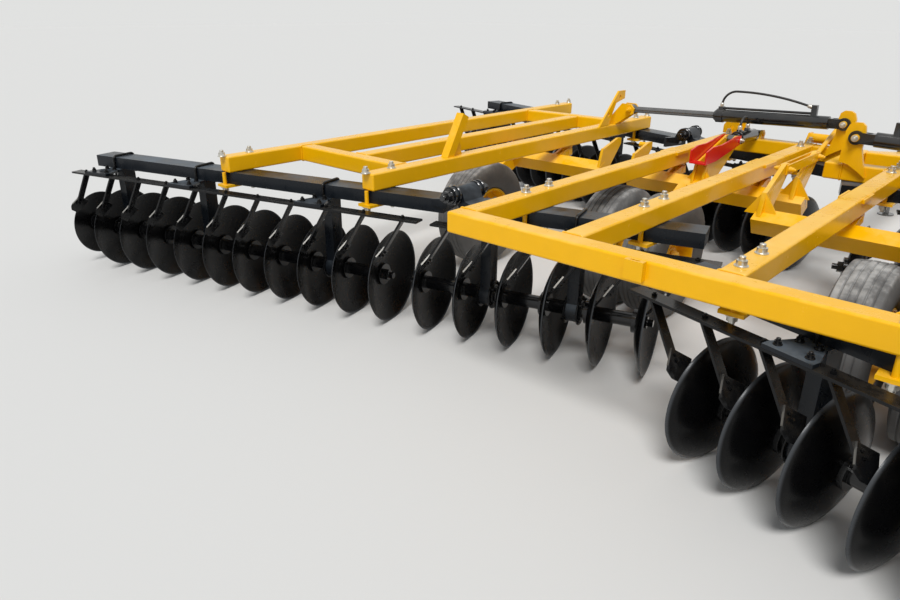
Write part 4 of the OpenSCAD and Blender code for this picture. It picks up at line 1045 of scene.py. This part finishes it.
def weld_round(half_wide, half_high):
    """A square loop in the YZ plane with round corners, closed on itself. The bead's radius is
    r (1 + swell |sin(pi s / drop)|) at a way s along the loop."""
    loops = [bend((0, sy * (half_wide - WELD_CORNER), sz * (half_high - WELD_CORNER)), WELD_CORNER, start,
                  start + 90, 5, (0, 1, 0), (0, 0, 1))
             for sy, sz, start in ((1, 1, 0), (-1, 1, 90), (-1, -1, 180), (1, -1, 270))]
    loop = np.concatenate(loops + [loops[0][:1]])
    steps = np.concatenate([[0], np.cumsum(np.linalg.norm(np.diff(loop, axis=0), axis=1))])
    even = np.linspace(0, steps[-1], 150)
    path = np.stack([np.interp(even, steps, loop[:, k]) for k in range(3)], 1)
    radius = WELD_R * (1 + SWELL * np.abs(np.sin(np.pi * even / DROP)))
    return sweep(path, radius, (1, 0, 0), 8)


weld_shape = weld_round(TUBE / 2, TUBE / 2)
for side in SIDES:
    step = 0 if side == "left" else STAGGER
    joints = [((x, TUBE + step, TUBE_MID_Z), (0, 1, 0)) for x in (INNER_X, OUTER_X)]
    joints += [((x, FRONT_CROSS_Y + TUBE / 2, TUBE_MID_Z), (way, 0, 0)) for x, way in
               ((TUBE / 2, 1), (INNER_X - TUBE / 2, -1), (INNER_X + TUBE / 2, 1), (OUTER_X - TUBE / 2, -1))]
    wing = [((x + way * TUBE / 2, y + TUBE / 2, TUBE_MID_Z), (way, 0, 0)) for y in WING_CROSS_Y
            for x, way in ((WING_INNER_X, 1), (WING_OUTER_X, -1))]
    wing += [((WING_MIDDLE_X, WING_CROSS_Y[0] + TUBE, TUBE_MID_Z), (0, 1, 0)),
             ((WING_MIDDLE_X, WING_CROSS_Y[1], TUBE_MID_Z), (0, -1, 0))]
    for name, body, spots in (("frame_beads", "centre", joints), ("wing_beads", f"{side}_wing", wing)):
        places = [half(side) @ stand(spot, way) for spot, way in spots]
        copies(f"{side}_{name}", weld_shape, places, yellow, body, "paint", 60.0)
print("a weld bead has", len(weld_shape[1]), "faces")

# %% [markdown]
# ## Floor and light
# A plain pale floor, a large soft sun and a pale sky. The sky that the camera and the gloss see
# has the colour of the lit floor, so the background stays plain without more light on the machine.

# %% Floor, sun and sky
FLOOR_COLOUR = (0.64, 0.63, 0.61, 1)
FLOOR_HALF = 80.0
floor_points = FLOOR_HALF * np.array([[-1, -1, 0], [1, -1, 0], [1, 1, 0], [-1, 1, 0]], float)
floor_mesh = mesh_from("floor", floor_points - [0, 0, 0.001], np.array([[0, 1, 2, 3]]))
pale = bpy.data.materials.new("pale_floor")
pale.use_nodes = True
pale_shader = pale.node_tree.nodes["Principled BSDF"]
pale_shader.inputs["Base Color"].default_value = FLOOR_COLOUR
pale_shader.inputs["Roughness"].default_value = 0.9
pale_shader.inputs["Specular IOR Level"].default_value = 0.1
floor_mesh.materials.append(pale)
floor = bpy.data.objects.new("floor", floor_mesh)
bpy.context.scene.collection.objects.link(floor)

SUN_STRENGTH, SUN_WIDE = 2.7, 24
SUN_TURN, SUN_TILT = 28, 33
SKY_STRENGTH, SKY_COLOUR = 0.50, (0.90, 0.95, 1.0, 1)
SEEN_COLOUR = (0.752, 0.757, 0.748, 1)
sun = bpy.data.lights.new("soft_sun", "SUN")
sun.energy = SUN_STRENGTH
sun.angle = math.radians(SUN_WIDE)
sun_object = bpy.data.objects.new("soft_sun", sun)
sun_object.matrix_world = turn(SUN_TURN, "Z") @ turn(SUN_TILT, "X")
bpy.context.scene.collection.objects.link(sun_object)
sky = bpy.data.worlds.new("pale_sky")
sky.use_nodes = True
air = sky.node_tree
light = air.nodes["Background"]
light.inputs["Color"].default_value = SKY_COLOUR
light.inputs["Strength"].default_value = SKY_STRENGTH
seen = air.nodes.new("ShaderNodeBackground")
seen.inputs["Color"].default_value = SEEN_COLOUR
ray = air.nodes.new("ShaderNodeLightPath")
both = air.nodes.new("ShaderNodeMixShader")
straight = math_node(air, "MAXIMUM", ray.outputs["Is Camera Ray"], ray.outputs["Is Glossy Ray"])
straight = math_node(air, "MAXIMUM", straight, ray.outputs["Is Transmission Ray"])
air.links.new(straight, both.inputs["Fac"])
air.links.new(light.outputs["Background"], both.inputs[1])
air.links.new(seen.outputs["Background"], both.inputs[2])
air.links.new(both.outputs["Shader"], air.nodes["World Output"].inputs["Surface"])
bpy.context.scene.world = sky
bpy.context.scene.view_settings.view_transform = "Standard"
print("sun", sun.energy, "sky", SKY_STRENGTH)
